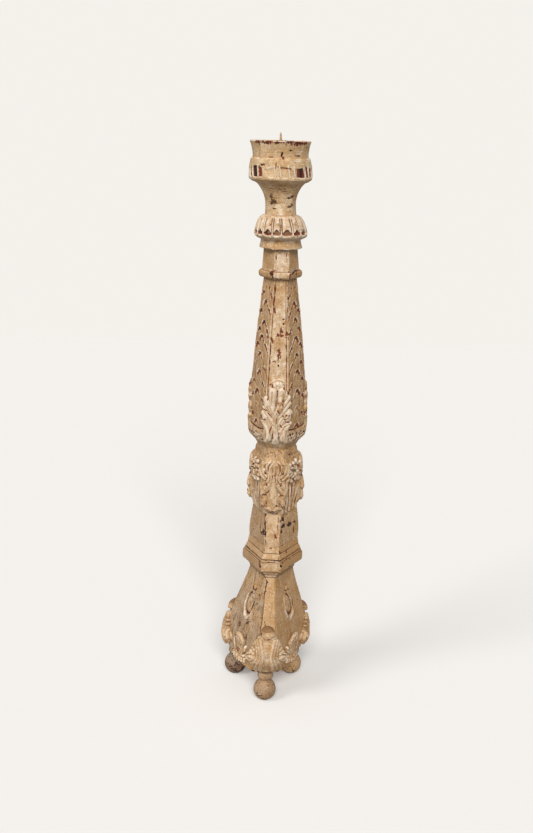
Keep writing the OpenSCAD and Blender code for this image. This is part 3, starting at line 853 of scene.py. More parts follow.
def scale_carving(s, low, high):
    """Pointed scales growing upwards, in three staggered columns. Round each tip there is a deep cut, longer on the
    side towards the arris, and a raised rim beyond it. Returns the shift, the cuts and the rims."""
    u = s.u / SCALE_COLUMN
    column_mm = SCALE_COLUMN * s.length
    up = s.z - low
    n = len(u)
    height, pocket, rim = np.full(n, -0.8), np.zeros(n), np.zeros(n)
    done = np.zeros(n, bool)
    base_row = np.floor(up / (SCALE_PITCH / 2)).astype(int)
    ragged = 0.7 * fbm(s.shell.p, [6, 6, 6], 2, 33)
    outward = np.where(u > 0, 1, -1)
    for back in (-3, -2, -1, 0, 1):
        row = base_row + back
        column = np.where(row % 2 == 0, 0, outward)
        cell = np.stack([column * 9.0, row * 7.0, s.side * 31.0], 1)
        chance = noise(cell, 5, 21)
        v = (up - row * SCALE_PITCH / 2 - 5.0 * noise(cell, 5, 3)) / SCALE_LENGTH
        du = (u - column * 0.98 - 0.16 * noise(cell, 5, 8)) * outward * column_mm
        half = column_mm * np.clip(1 - np.clip(v, 0, 1) ** 2.2, 0, 1) ** 0.8
        inner = half - np.abs(du)
        cover = (inner > 0) & (v > 0) & (v < 1) & ~done
        crown = 1.2 * np.clip(inner / 7, 0, 1) ** 0.5 + 2.8 * v
        height = np.where(cover, crown - 1.0, height)
        done |= cover
        near_tip = np.hypot(du, (v - 1) * SCALE_LENGTH)
        out = np.where(v < 1, -inner, np.hypot(du, (v - 1) * SCALE_LENGTH * 1.2)) + ragged
        reach_down = np.where(du > -0.5, 12 + 7 * chance, 4)
        wide_cut = np.clip(9.5 - 0.28 * near_tip, 3.5, 9) + 1.5 * chance
        cut = step(wide_cut - out, 0, 1.6) * step(out, -0.8, 0.4) * step(reach_down - near_tip, 0, 4)
        cut *= (v < 1.10) * ~done * step(chance, -0.5, -0.3)
        lip = step(out, wide_cut - 0.6, wide_cut + 0.6) * step(wide_cut + 3.6 - out, 0, 1.6)
        lip *= (v < 1.16) * ~done * (du > -3)
        lip *= step(reach_down + 5 - near_tip, 0, 5) * step(ragged + 0.6 * chance, -0.9, -0.3)
        pocket = np.where(done, pocket, np.maximum(pocket, cut))
        rim = np.where(done, rim, np.maximum(rim, lip * (1 - cut)))
    flutes = 0.4 * fbm(np.stack([s.q, 0.05 * s.z, s.side * 40.0], 1), 2.4, 2, 31)
    zone = step(s.z, low - 8, low + 14) * step(high - s.z, 2, 26)
    zone *= step(0.5 - np.abs(s.u), 0.005, 0.03) * (s.side % 2 == 1)
    return zone * (height + flutes + 1.3 * rim - 1.7 * pocket), zone * pocket, zone * rim


def bottom_scroll(s, low):
    """A fluted, drilled shell across the foot of each wide side, like a boat: low in the middle and curling up at both
    arrises. Returns its drilled pits."""
    wide = s.side % 2 == 1
    share = np.abs(s.u) * 2
    middle = low + 33 + 7 * share**2
    half = 17 - share
    v = (s.z - middle) / half
    bump = np.clip(1 - np.abs(v) ** 2.6, 0, 1) ** 0.5
    flutes = np.cos(s.q * 2 * math.pi / 7.0 + 0.6 * v)
    moat = np.exp(-(((v - 1.08) / 0.08) ** 2))
    pits = np.zeros(len(v))
    for i in range(-5, 6):
        for row, lift in ((0, 8.0), (1, 1.5), (2, -5.0)):
            q = (i + 0.5 * row) * 7.6 + 1.2 * math.sin(7 * i + row)
            at = middle + lift + 1.5 * math.sin(5 * i + row)
            pits = np.maximum(pits, step(2.9 - np.hypot(s.q - q, s.z - at), 0, 1.2) * ((3 * i + row) % 4 != 1))
    pits *= bump > 0.3
    s.push(wide * (5.0 * bump * (0.84 + 0.16 * flutes) - 1.2 * moat - 2.6 * pits))
    # Painted shade in the flutes' troughs and a painted highlight on their crests
    s.shell.more(deep=wide * 0.5 * bump * step(-flutes, 0.3, 0.9), pale=wide * 0.6 * bump * step(flutes, -0.4, 0.6))
    return wide * np.maximum(pits, 0.1 * moat)


def make_shaft():
    low, high = span("main_shaft")
    profile = Profile(section_levels("main_shaft"), 7)
    s = Section(profile, low, high, 1.05)
    frame_shift, cut = panel_frame(s)
    field = step(s.z, low + 40, low + 50) * step(high - s.z, 0.5, 3)
    scale_shift, pocket, rim = scale_carving(s, low + 50, high - 6)
    s.push(frame_shift * field + scale_shift)
    pits = bottom_scroll(s, low)
    shell = s.shell
    wear_and_shade(shell, 51, grain=0.3, dents=0.5, chips=0.2, chip_size=6, crests=0.35)
    patch = fbm(shell.p, 6, 3, 77)
    loss = step(pocket + 0.25 * patch, 0.32, 0.55)
    split = fbm(shell.p, 16, 2, 78)
    shell.more(red=loss * step(split, -0.6, -0.3), dark=loss * step(-split, 0.3, 0.5))
    # Painted shade in the scale cuts and in the panel's groove
    shell.more(deep=np.maximum(0.7 * step(pocket, 0.1, 0.5), 0.3 * cut * field))
    shell.more(red=step(pits + 0.3 * patch, 0.6, 0.9), dark=pits * step(patch, -0.1, 0.2))
    shell.more(pale=rim * step(patch, -0.5, 0.0))
    wide = s.side % 2 == 1
    stripes = fbm(np.stack([s.q, 0.06 * s.z, s.side * 40.0], 1), 4.0, 3, 79)
    shell.more(deep=0.65 * wide * step(stripes, 0.0, 0.5) * (1 - rim))
    # losses on the front panel: x, height above the shaft's foot, half sizes across and up, tilt, red, dark
    front = [(2, 215, 3.4, 8, 6, 1, 0.1), (0, 202, 1.5, 6, 0, 0.6, 0.7), (1, 190, 2, 2.5, 0, 0.2, 0.8),
             (4, 262, 1.8, 8, -8, 1, 0.1), (4, 250, 7, 2.4, 6, 1, 0), (-2, 252, 2.6, 3, 30, 1, 0),
             (15, 253, 3.4, 6, 0, 1, 0.1), (8, 283, 3, 2, 30, 0.4, 0.8), (9, 274, 2.2, 2.4, 0, 0.3, 0.9),
             (-11, 344, 1.6, 12, 3, 0.7, 0.2), (-12, 320, 1.6, 11, -4, 0.7, 0.3), (-10, 300, 2.4, 7, 0, 0.8, 0.2),
             (15, 330, 1.0, 16, 0, 0.6, 0.5), (16, 296, 1.0, 18, 0, 0.7, 0.4), (15, 230, 1.7, 6, 0, 0.9, 0.2),
             (-14, 241, 2, 6, 20, 0.9, 0.2), (-16, 222, 1.2, 12, 0, 0.6, 0.5), (-17, 195, 1.1, 14, 0, 0.7, 0.4),
             (17, 200, 1.2, 8, 0, 0.6, 0.4)]
    for i, (x, up, across, tall, tilt, red, dark) in enumerate(front):
        for side, flip in ((0, 1), (2, -1), (4, 1)):
            if side and i % 3 == side // 2:
                continue
            half = (1.2 * across, 1.15 * tall)
            mark_side(shell, profile, side, flip * x, low + up, half, -tilt * flip, 200 + i, red, dark, 0.6, 0.9)
    # Painted sheen and bounce colour: the wide sides are tinted ochre above the scroll, the narrow sides made paler in
    # patches
    shell.ochre = 0.5 * wide * step(s.z, low + 40, low + 55)
    cream = step(fbm(shell.p, [20, 20, 50], 2, 80), -0.6, 0.2)
    shell.more(pale=0.42 * ~wide * cream * (1 - shell.red) * (1 - shell.dark))
    shell.pits = 0.3 + 0.2 * wide
    shell.more(grey=0.15 * ((s.side == 5) | (s.side == 4)))
    piece("shaft_carved", shell, "main_shaft")


def plain_section(node, seed, framed=True, spacing=1.1, shape=None, marks=(), grey=0.0, soften=3.0, grain=0.16,
                  steps=()):
    """A faceted block or moulding, worn and marked. Marks: x, height, half sizes across and up, tilt, red, dark, on the
    front. Steps: (height, depth, half height) of grooves that run all round."""
    low, high = span(node)
    profile = Profile(section_levels(node), soften)
    s = Section(profile, low, high, spacing)
    shell = s.shell
    if framed:
        shift, _ = panel_frame(s, 3.2, 0.7, 0.5)
        s.push(shift * step(s.z, low, low + 3) * step(high - s.z, 0, 3))
    if shape is not None:
        s.push(shape(s, low, high))
    groove = np.zeros(len(s.z))
    for up, depth, half in steps:
        line = np.exp(-(((s.z - low - up) / half) ** 2))
        s.push(-depth * line)
        groove = np.maximum(groove, line)
    wear_and_shade(shell, seed, grain=grain, dents=0.5, chips=0.4, chip_size=8, crests=0.3)
    # Painted shade in the grooves that run all round
    shell.more(deep=groove * s.body)
    ragged = fbm(shell.p, [12, 12, 4], 3, seed + 3)
    shell.more(dark=step(groove * s.body + 0.8 * ragged, 0.85, 1.1))
    for i, (x, up, across, tall, tilt, red, dark) in enumerate(marks):
        mark_side(shell, profile, 0, x, low + up, (across, tall), -tilt, seed * 10 + i, red, dark)
    shell.more(grey=grey * ((s.side == 5) | (s.side == 4)))
    # Painted bounce colour and sheen: the wide sides are tinted ochre, the right side more on plain mouldings, and the
    # narrow sides made paler
    shell.ochre = (0.5 if framed else 0.7) * (s.side % 2 == 1) + 0.3 * (s.side == 1) * (not framed)
    shell.more(pale=0.28 * (s.side % 2 == 0) * (s.side >= 0))
    return s


def corner_splits(s, low, chance, seed):
    """Dark open splits down the arrises of a block."""
    gap = s.length / 2 - np.abs(s.q)
    broken = fbm(np.stack([s.side * 50.0, 0 * s.z, s.z], 1), 9, 2, seed)
    split = step(1.6 - gap, 0, 0.8) * step(broken, chance, chance + 0.2)
    split = split * s.body * step(s.z, low + 1, low + 4)
    s.push(-1.6 * split)
    s.shell.more(dark=split)


def make_blocks():
    """The faceted blocks and mouldings: piece, node, seed, settings and marks."""
    blocks = [
        ("neck_carved", "neck_block", 61, {"soften": 2},
         [(-9, 8, 1.2, 5, 20, 0.5, 0.3), (9, 30, 1.2, 8, 0, 0.7, 0.2), (-11, 26, 1.5, 10, 0, 0.6, 0.3)]),
        ("ring_carved", "ring_moulding", 62, {"framed": False, "spacing": 0.9, "soften": 1.2,
                                              "steps": [(14.5, 0.8, 0.9)]},
         [(-20, 10, 4, 4, 0, 0.4, 1), (-17, 4, 1.8, 6, 0, 0.3, 1), (17, 9, 2.6, 5, 0, 0.9, 0.2),
          (17, 3, 1.8, 5, 0, 0.8, 0.5), (24, 12, 7, 2, 30, 0.3, 1), (32, 9, 3, 4, 0, 0.4, 0.9)]),
        ("collar_cove", "collar_moulding", 64, {"framed": False, "spacing": 1.0, "grey": 0.15, "soften": 1.2,
                                                "steps": [(6.0, 1.8, 1.7), (0.8, 1.8, 1.7), (19, 0.9, 1.0)]},
         [(18, 22, 2, 6, 20, 0.8, 0.2), (-16, 26, 1.4, 7, 0, 0.4, 0.6), (16, 8, 1.5, 8, 0, 0.5, 0.5)]),
        ("slab_carved", "collar_slab", 65, {"framed": False, "spacing": 1.0, "grey": 0.3, "soften": 1.0,
                                            "steps": [(18.6, 0.9, 0.8)]},
         [(-23, 11, 1.6, 9, 0, 0.3, 1), (22, 15, 2.6, 4, 30, 0.4, 1), (20, 4, 3, 2, 0, 0.7, 0.3),
          (-26, 15, 4, 2, 0, 0.3, 1)]),
        ("cap_carved", "base_cap", 66, {"framed": False, "spacing": 0.9, "grey": 0.2, "soften": 1.0,
                                        "steps": [(7.2, 1.3, 1.1), (0.8, 1.0, 1.0)]},
         [(-16, 5, 7, 3, -30, 0.3, 1), (-26, 12, 8, 2.6, -24, 0.2, 1), (6, 3, 5, 1.5, 0, 0.4, 0.5)]),
    ]
    for name, node, seed, settings, marks in blocks:
        s = plain_section(node, seed, marks=marks, **settings)
        if node == "collar_slab":
            corner_splits(s, span(node)[0], 0.1, 12)
        piece(name, s.shell, node)


def make_stem():
    marks = [(7, 26, 2.8, 6, 25, 1, 0.2), (11, 46, 1.6, 9, 12, 0.7, 0.4), (-15, 44, 1.6, 22, 0, 0.3, 1),
             (12, 62, 1.2, 10, 0, 0.6, 0.4), (-13, 12, 1.5, 10, 0, 0.4, 0.6), (0, 66, 6, 1.2, 0, 0.2, 0.4),
             (-14, 30, 2.5, 8, 0, 0.7, 0.7)]
    s = plain_section("lower_stem", 63, marks=marks, grey=0.35, soften=4, grain=0.35, shape=lambda s, low, high:
                      0.6 * fbm(np.stack([s.q, s.side * 40.0, s.z * 0.08], 1), 2.6, 2, 17) * (s.side % 2 == 1))
    shell, profile, low = s.shell, s.profile, span("lower_stem")[0]
    # gouges in the wide sides: side, place across it, height, half sizes across and up, red, dark
    gouges = [(1, -24, 60, 7, 4, 0.2, 0.9), (1, -22, 46, 9, 6, 0.4, 1), (1, 3, 42, 8, 5, 0.5, 0.9),
              (1, 22, 41, 4, 3, 0.3, 1), (1, 20, 24, 2.4, 9, 0.6, 0.8), (1, -28, 36, 4, 5, 0.6, 0.7),
              (1, 0, 22, 1.6, 10, 0.3, 0.5), (1, -12, 66, 12, 4, 0, 0.4), (5, 32, 56, 2.0, 11, 0.3, 1),
              (5, 12, 35, 2.6, 7, 0.6, 0.7), (5, 29, 33, 6, 7, 0.5, 1), (5, 20, 26, 6, 3.5, 0.7, 0.6),
              (5, -8, 50, 1.6, 14, 0.2, 0.5), (5, -20, 40, 2, 8, 0.4, 0.6), (3, -18, 40, 3, 12, 0.5, 0.8),
              (3, 6, 44, 7, 5, 0.4, 0.9), (3, 22, 30, 4, 8, 0.6, 0.6)]
    for i, (side, q, up, across, tall, red, dark) in enumerate(gouges):
        half = (1.25 * across, 1.15 * tall)
        mark_side(shell, profile, side, q, low + up, half, 0, 240 + i, red, dark, 1.6, 0.8, (2.6, 3.4))
    shell.more(deep=0.45 * (s.side % 2 == 1) * step(fbm(shell.p, [4, 4, 22], 3, 46), -0.1, 0.5))
    shell.pits = 0.25 + 0.75 * (s.side % 2 == 1)
    piece("stem_carved", shell, "lower_stem")


def make_bulb():
    low, high = span("middle_knop")
    profile = Profile(section_levels("middle_knop"), 6)
    s = Section(profile, low, high, 1.05)
    shell = s.shell
    v = s.z - low
    wide = s.side % 2 == 1
    sway = 5.0 * fbm(np.stack([s.q * 0, s.side * 40.0, s.z], 1), 30, 2, 9)
    folds = np.cos((np.abs(s.q) - sway - 0.10 * v) * 2 * math.pi / 12.5)
    folds = np.sign(folds) * np.abs(folds) ** 0.7
    zone = step(v, -4, 3) * step(80 - v, 0, 26)
    crumble = 2.2 * fbm(shell.p, 7, 3, 12) * step(v, 96, 108)
    rim = step(v, high - low - 7, high - low - 3)
    s.push(0.8 * rim)
    shell.p[:, 2] += 7.0 * rim
    s.push((1.5 * folds * zone + crumble) * wide + (0.8 * folds * zone + crumble) * ~wide)
    wear_and_shade(shell, 71, grain=0.2, dents=0.7, chips=0.35, chip_size=7, crests=0.7)
    patch = fbm(shell.p, [5, 5, 12], 3, 73)
    # Painted shade in the valleys between the folds; patchy dirt on the shoulder
    valley = step(-folds, 0.4, 0.9) * zone
    shell.more(deep=np.maximum(0.75 * valley, 0.45 * step(v, 90, 104) * step(patch, -0.2, 0.5)))
    shell.more(dark=step(valley + 0.7 * patch, 1.1, 1.3))
    shell.more(red=step(valley + 0.7 * fbm(shell.p, 9, 3, 74), 1.0, 1.2))
    # Painted highlight, in patches, on the crests of the folds
    shell.more(pale=0.4 * step(folds, 0.5, 1.0) * zone * step(patch, -0.1, 0.4))
    shell.more(grey=0.3 * ((s.side == 5) | (s.side == 4)))
    shoulder = step(v, 96, 106)
    shell.ochre = 0.55 * shoulder
    shell.more(dark=shoulder * step(fbm(shell.p, 6, 3, 75), 0.42, 0.55))
    shell.pale *= (1 - 0.8 * shoulder) * step(v, 2, 8)
    shell.pits = 0.25 + 0.6 * shoulder
    piece("bulb_carved", shell, "middle_knop")


# ------------------------------------------------------------------ carved ornaments, as smooth solids


class Block:
    """A sampled solid in a side's own coordinates: t across, z up from the ornament's foot, d outwards. Wood is where
    the field is below 0."""

    def __init__(self, half_width, height, depth, step_mm=1.0, back=3.0):
        self.h = step_mm
        self.t = np.arange(-half_width - 2, half_width + 2.01, step_mm)
        self.z = np.arange(-3, height + 3.01, step_mm)
        self.d = np.arange(-back - 2, depth + 2.01, step_mm)
        self.T, self.Z, self.D = np.meshgrid(self.t, self.z, self.d, indexing="ij")
        self.f = np.full(self.T.shape, 1e3)
        self.seam = np.full(self.T.shape, 1e3)
        self.vein = np.full(self.T.shape, 1e3)
        self.back = back
        self.spots = []

    def spot(self, t, z, across, up, tilt=0.0, red=1.0, dark=0.0):
        """A paint loss on the finished ornament: its middle, half sizes and tilt."""
        self.spots.append((t, z, across, up, tilt, red, dark))

    def from_line(self, a, b):
        """Nearest place on the line from a to b, from 0 to 1, and how far off it everything lies, in t and z."""
        ax, ay = b[0] - a[0], b[1] - a[1]
        length = max(ax * ax + ay * ay, 1e-6)
        h = np.clip(((self.T - a[0]) * ax + (self.Z - a[1]) * ay) / length, 0, 1)
        return h, self.T - (a[0] + ax * h), self.Z - (a[1] + ay * h)

    def capsule(self, a, b, ra, rb, da, db, thick):
        h, x, y = self.from_line(a, b)
        r = ra + (rb - ra) * h
        return np.sqrt(x * x + y * y + ((self.D - (da + (db - da) * h)) * r / thick) ** 2) - r

    def lobe(self, a, b, ra, rb, da, db, thick, blend=1.5):
        """Rounded lobe from a to b [t, z], radii ra and rb, its middle at depths da and db, half as thick as said."""
        self.join(self.capsule(a, b, ra, rb, da, db, thick), blend)

    def join(self, dist, blend):
        """Adds a solid, and keeps how narrowly it wins or loses, which finds the seams between solids."""
        self.seam = np.where(dist < self.f, self.f - dist, np.minimum(self.seam, dist - self.f))
        gap = np.clip(0.5 + 0.5 * (self.f - dist) / blend, 0, 1)
        self.f = self.f * (1 - gap) + dist * gap - blend * gap * (1 - gap)

    def limb(self, points, radii, depths, thick, blend=0.7):
        """A curved lobe through [t, z] points, with a radius and a depth for its middle at each of them."""
        dist = np.full(self.T.shape, 1e3)
        for i in range(len(points) - 1):
            part = self.capsule(points[i], points[i + 1], radii[i], radii[i + 1], depths[i], depths[i + 1], thick)
            dist = np.minimum(dist, part)
        self.join(dist, blend)

    def leaflet(self, points, radii, depths, thick, vein=1.1):
        """A limb with a vein cut along it. The vein stops short of the tip."""
        self.limb(points, radii, depths, thick)
        before, last = points[-2:]
        path = list(points[:-1]) + [(0.5 * (last[0] + before[0]), 0.5 * (last[1] + before[1]))]
        for i in range(len(path) - 1):
            self.groove([path[i], path[i + 1]], vein, depths[i] + thick * min(radii[i] / max(radii), 1) + 0.2, 0.4)

    def groove(self, points, radius, depth, blend=0.8):
        """Cuts a rounded channel along a line of [t, z] points, centred at the given depth."""
        for a, b in zip(points[:-1], points[1:]):
            _, x, y = self.from_line(a, b)
            dist = np.sqrt(x * x + y * y + (self.D - depth) ** 2) - radius
            self.vein = np.minimum(self.vein, dist)
            self.cut(dist, blend)

    def cut(self, dist, blend=0.8):
        gap = np.clip(0.5 - 0.5 * (self.f + dist) / blend, 0, 1)
        self.f = self.f * (1 - gap) - dist * gap + blend * gap * (1 - gap)

    def shell(self):
        """The carved ornament's surface, with its seams, veins and spots."""
        self.f = np.maximum(self.f, -(self.D + self.back))
        points, quads = surface_net(self.f)
        start = [self.t[0], self.z[0], self.d[0]]
        points = points * self.h + start
        out = Shell(points, quads)
        at = tuple(np.clip(np.round((points - start) / self.h).astype(int), 0, np.array(self.f.shape) - 1).T)
        out.seam = step(1.5 - self.seam[at], 0, 1.3)
        out.vein = step(1.6 - self.vein[at], 0, 1.4)
        out.smooth(1, 0.4)
        ragged = fbm(out.p, 3.0, 2, 7)
        for t, z, across, up, tilt, red, dark in self.spots:
            c, s = math.cos(math.radians(tilt)), math.sin(math.radians(tilt))
            x, y = out.p[:, 0] - t, out.p[:, 1] - z
            far = np.hypot((x * c + y * s) / across, (y * c - x * s) / up)
            m = step(1.1 - far + 0.5 * ragged, 0, 0.35)
            out.more(red=m * red, dark=m * dark)
        return out


def shade_and_stain_seams(shell, seed, strength=1.0, red_share=0.0, pale=0.4):
    """Painted shade with dirt, and bare red ground, in the seams and veins of a carved ornament, over paler paint."""
    patch = fbm(shell.p, [10, 10, 10], 3, seed + 60)
    seam = shell.seam * strength
    vein = shell.vein * strength
    # Painted shade in the seams and veins
    shell.more(deep=0.7 * np.maximum(0.9 * seam, 0.8 * vein))
    shell.more(red=step(0.9 * seam + 0.55 * patch + red_share, 0.78, 1.0))
    shell.more(dark=step(0.8 * seam + 0.6 * fbm(shell.p, 13, 2, seed + 62), 1.05, 1.25))
    # Paler paint all over, but kept out of the seams and veins, which leaves them in painted shade
    shell.pale = np.maximum(shell.pale, pale) * (1 - np.maximum(0.8 * seam, 0.7 * vein))


def surface_net(f):
    """Quads over the zero surface of a sampled field, one point in each crossed cell."""
    inside = f < 0
    nx, ny, nz = (n - 1 for n in f.shape)
    count = np.zeros((nx, ny, nz))
    place = np.zeros((nx, ny, nz, 3))
    corner = [(i, j, k) for i in (0, 1) for j in (0, 1) for k in (0, 1)]

    def at(arr, c):
        return arr[c[0]:c[0] + nx, c[1]:c[1] + ny, c[2]:c[2] + nz]

    for a in corner:
        for axis in range(3):
            if a[axis]:
                continue
            b = tuple(1 if m == axis else a[m] for m in range(3))
            fa, fb = at(f, a), at(f, b)
            cross = at(inside, a) != at(inside, b)
            t = np.where(cross, fa / np.where(cross, fa - fb, 1), 0)
            count += cross
            for m in range(3):
                place[..., m] += cross * (a[m] + (t if m == axis else 0))
    used = count > 0
    index = np.full(used.shape, -1)
    index[used] = np.arange(used.sum())
    cells = np.argwhere(used)
    points = place[used] / count[used][:, None] + cells
    quads = []
    for axis in range(3):
        u, v = [m for m in range(3) if m != axis]
        if axis == 1:
            u, v = v, u
        low = [slice(1, n) for n in (nx, ny, nz)]
        low[axis] = slice(0, (nx, ny, nz)[axis])
        shift = [0, 0, 0]
        shift[axis] = 1
        a = inside[tuple(low)]
        b = inside[tuple(slice(s.start + d, s.stop + d) for s, d in zip(low, shift))]
        for sign in (1, -1):
            at_edge = np.argwhere((a & ~b) if sign > 0 else (~a & b))
            at_edge += [s.start for s in low]
            ring = []
            for du, dv in ((0, 0), (-1, 0), (-1, -1), (0, -1)):
                cell = at_edge.copy()
                cell[:, u] += du
                cell[:, v] += dv
                ring.append(index[cell[:, 0], cell[:, 1], cell[:, 2]])
            ring = np.stack(ring if sign > 0 else ring[::-1], axis=1)
            quads.append(ring)
    return points, np.concatenate(quads)


def wrap(shell, foot, reach, turn, radius, outer=0):
    """Wraps an ornament round a side turned so many degrees: t is measured along a circle that lies outer mm off the
    side, and d stands out from the side. Reach gives the side's distance from the axis at a height."""
    t, z, d = shell.p[:, 0], shell.p[:, 1] + foot, shell.p[:, 2]
    phi = np.clip(t / (radius + outer), -1.35, 1.35)
    x = (radius + d) * np.sin(phi)
    y = -(reach(z) - radius + (radius + d) * np.cos(phi))
    shell.p = turned(np.stack([x, y, z], axis=1), turn)


def turned(p, degrees):
    c, s = math.cos(math.radians(degrees)), math.sin(math.radians(degrees))
    return np.stack([p[:, 0] * c - p[:, 1] * s, p[:, 0] * s + p[:, 1] * c, p[:, 2]], axis=1)


def both(points):
    """The same outline on the right and on the left."""
    return [list(points), [(-t, z) for t, z in points]]


def arc(centre, radius, start, end, count, squash=1.0):
    """Points round part of a circle or ellipse, in degrees from the t axis."""
    angles = np.radians(np.linspace(start, end, count))
    return [(centre[0] + radius * math.cos(a), centre[1] + radius * squash * math.sin(a)) for a in angles]


def rounded(points):
    """A smoother line through about the same [t, z] points."""
    for _ in range(2):
        middle = []
        for a, b in zip(points[:-1], points[1:]):
            middle += [(0.75 * a[0] + 0.25 * b[0], 0.75 * a[1] + 0.25 * b[1]),
                       (0.25 * a[0] + 0.75 * b[0], 0.25 * a[1] + 0.75 * b[1])]
        points = [points[0]] + middle + [points[-1]]
    return points


def spiral(centre, radius, start, turn, count, close):
    """Points that wind inwards from a radius, through a number of degrees."""
    out = []
    for i in range(count):
        a = math.radians(start + turn * i / (count - 1))
        r = radius * (1 - close * i / (count - 1))
        out.append((centre[0] + r * math.cos(a), centre[1] + r * math.sin(a)))
    return out


def veins(block, path, radii, depth, offsets):
    """Shallow lines along a curved lobe, off its middle by shares of its radius."""
    for share, last in offsets:
        line = []
        for i in range(len(path) + last):
            nt, nz = path[i + 1][0] - path[i][0], path[i + 1][1] - path[i][1]
            size = math.hypot(nt, nz)
            line.append((path[i][0] - share * radii[i] * nz / size, path[i][1] + share * radii[i] * nt / size))
        block.groove(line, 0.9, depth, 0.4)


def shaft_leaf():
    """Upright acanthus: rolled tip under a hood, twin upper lobes, broad side leaves, stem, and two big comma lobes."""
    b = Block(37, 152, 22, 0.85)
    b.limb([(0, 12), (0, 34), (0, 60), (1, 90), (2, 118)], [10, 24, 27, 20, 17], [0, 0, 0, 0, 0], 4.2, 2.0)
    leaves = [
        ([(-5, 15), (-12, 31), (-20, 42), (-29, 46)], [3.5, 5.0, 5.2, 3.6], [4, 5, 5, 5]),
        ([(-4, 24), (-13, 40), (-21, 53), (-28, 62)], [4, 6.4, 7.4, 5.4], [4, 5, 5.5, 5.5]),
        ([(-2, 38), (-11, 54), (-20, 66), (-27, 75)], [3.5, 5.0, 5.0, 3.4], [4, 5, 5, 5]),
        ([(-1, 50), (-9, 64), (-17, 79), (-23, 93)], [4, 6.2, 6.8, 5.0], [4, 5.5, 6, 6]),
        ([(6, 16), (13, 32), (22, 41), (31, 43)], [3.5, 5.0, 5.2, 3.6], [4, 5, 5, 5]),
        ([(5, 34), (13, 48), (22, 58), (28, 64)], [5, 8.4, 9.6, 7.0], [4, 5, 5.5, 5.5]),
        ([(5, 56), (13, 69), (21, 79), (28, 86)], [3.2, 4.4, 4.4, 3.4], [4.5, 5.5, 6, 6]),
        ([(3, 62), (11, 77), (19, 90), (26, 99)], [3.2, 4.4, 4.4, 3.4], [5, 6, 6.5, 6.5]),
        ([(2, 68), (8, 84), (15, 98), (21, 108)], [3.0, 4.0, 4.2, 3.2], [5, 6, 6.5, 6.5]),
    ]
    for path, radii, depths in leaves:
        b.limb(path, [1.38 * r for r in radii], depths, 5.0, 0.4)
        if radii[1] > 5:
            veins(b, path, radii, depths[1] + 5.0, ((-0.4, -1), (0.3, -1)))
    for t, z in ((14, 60), (21, 61), (27, 60), (18, 53)):
        b.groove([(t, z), (t + 0.5, z)], 1.4, 10.2, 0.3)
        b.spot(t, z, 1.5, 1.5, 0, 0.3, 0.9)
    left = [(-21, 3), (-17, 10), (-16, 24), (-19, 36), (-26, 43)]
    right = [(22, 3), (18, 10), (17, 24), (20, 33), (27, 39)]
    for comma in (left, right):
        b.limb(comma, [6, 9.5, 11.0, 9.5, 6], [1.5, 2.5, 3, 3, 3], 8.0, 0.4)
    for path in ([(-14, 8), (-11, 20), (-13, 33)], [(-21, 9), (-20, 22), (-23, 34)], [(15, 8), (12, 20), (14, 32)],
                 [(22, 9), (21, 20), (24, 30)]):
        b.groove(path, 0.7, 11.2, 0.4)
    b.limb([(-8, 66), (-9, 84), (-9.5, 100), (-9, 111)], [4, 7.2, 8.6, 8.0], [5, 5, 5.5, 5.5], 6.5, 0.4)
    b.limb([(8, 70), (10, 84), (11, 100), (11, 111)], [4, 7.2, 8.8, 8.2], [5, 5, 5.5, 5.5], 6.5, 0.4)
    b.groove([(-10, 82), (-10, 96), (-9, 110)], 0.8, 12.4, 0.4)
    b.groove([(10, 84), (12, 98), (12, 108)], 0.8, 12.4, 0.4)
    b.limb([(0, 0), (0, 10), (-1, 30), (0, 56), (1, 74)], [8.5, 6.2, 4.6, 4.0, 2.4], [3, 5, 6.5, 7.5, 8], 5.0, 0.8)
    b.groove([(0, 8), (-1, 40), (0, 62)], 0.7, 12.4, 0.4)
    # crumpled rolled tip
    for t, z, r in ((-5, 122, 4.6), (1, 126, 5.8), (7, 126, 5.4), (11, 121, 4.6), (2, 119, 4.0)):
        b.lobe((t, z - 3), (t, z), r, r, 3.5, 4.5, 3.6, 2.6)
    b.limb(arc((3, 111), 23.5, 10, 170, 12, 1.0), [1.4] * 12, [1.2] * 12, 2.2)                      # hood
    for t, z, across, up, tilt, red, dark in (
            (-14, 122, 6.0, 4.5, 30, 0.8, 0.5), (18, 122, 4.5, 7, 35, 1, 0.2), (23, 112, 3.2, 7, 0, 0.9, 0.5),
            (0.6, 106, 1.0, 10, 0, 0.8, 0.2),
            (-1, 85, 1.3, 9, 0, 0.9, 0.2), (-23, 71, 7, 1.4, 20, 1, 0), (-13, 62, 5, 1.4, 45, 1, 0),
            (1, 52, 1.3, 9, 0, 1, 0.2),
            (4, 70, 1.5, 6, -30, 0.9, 0.4), (12, 84, 1.4, 5, -30, 0.7, 0.5), (-25, 50, 6, 1.4, -10, 1, 0),
            (-10, 32, 1.5, 9, 20, 1, 0),
            (-6, 18, 1.4, 7, 5, 1, 0.1), (24, 47, 8, 1.5, 6, 1, 0), (10, 40, 1.6, 6, -30, 1, 0),
            (7, 20, 1.5, 9, 0, 1, 0.1),
            (33, 60, 1.5, 6, 0, 1, 0), (-31, 56, 1.4, 5, 10, 1, 0), (-18, 96, 1.3, 8, 10, 0.9, 0),
            (-29, 84, 1.3, 5, 10, 0.7, 0.4)):
        b.spot(t, z, across, up, -tilt, red, dark)
    return b.shell()


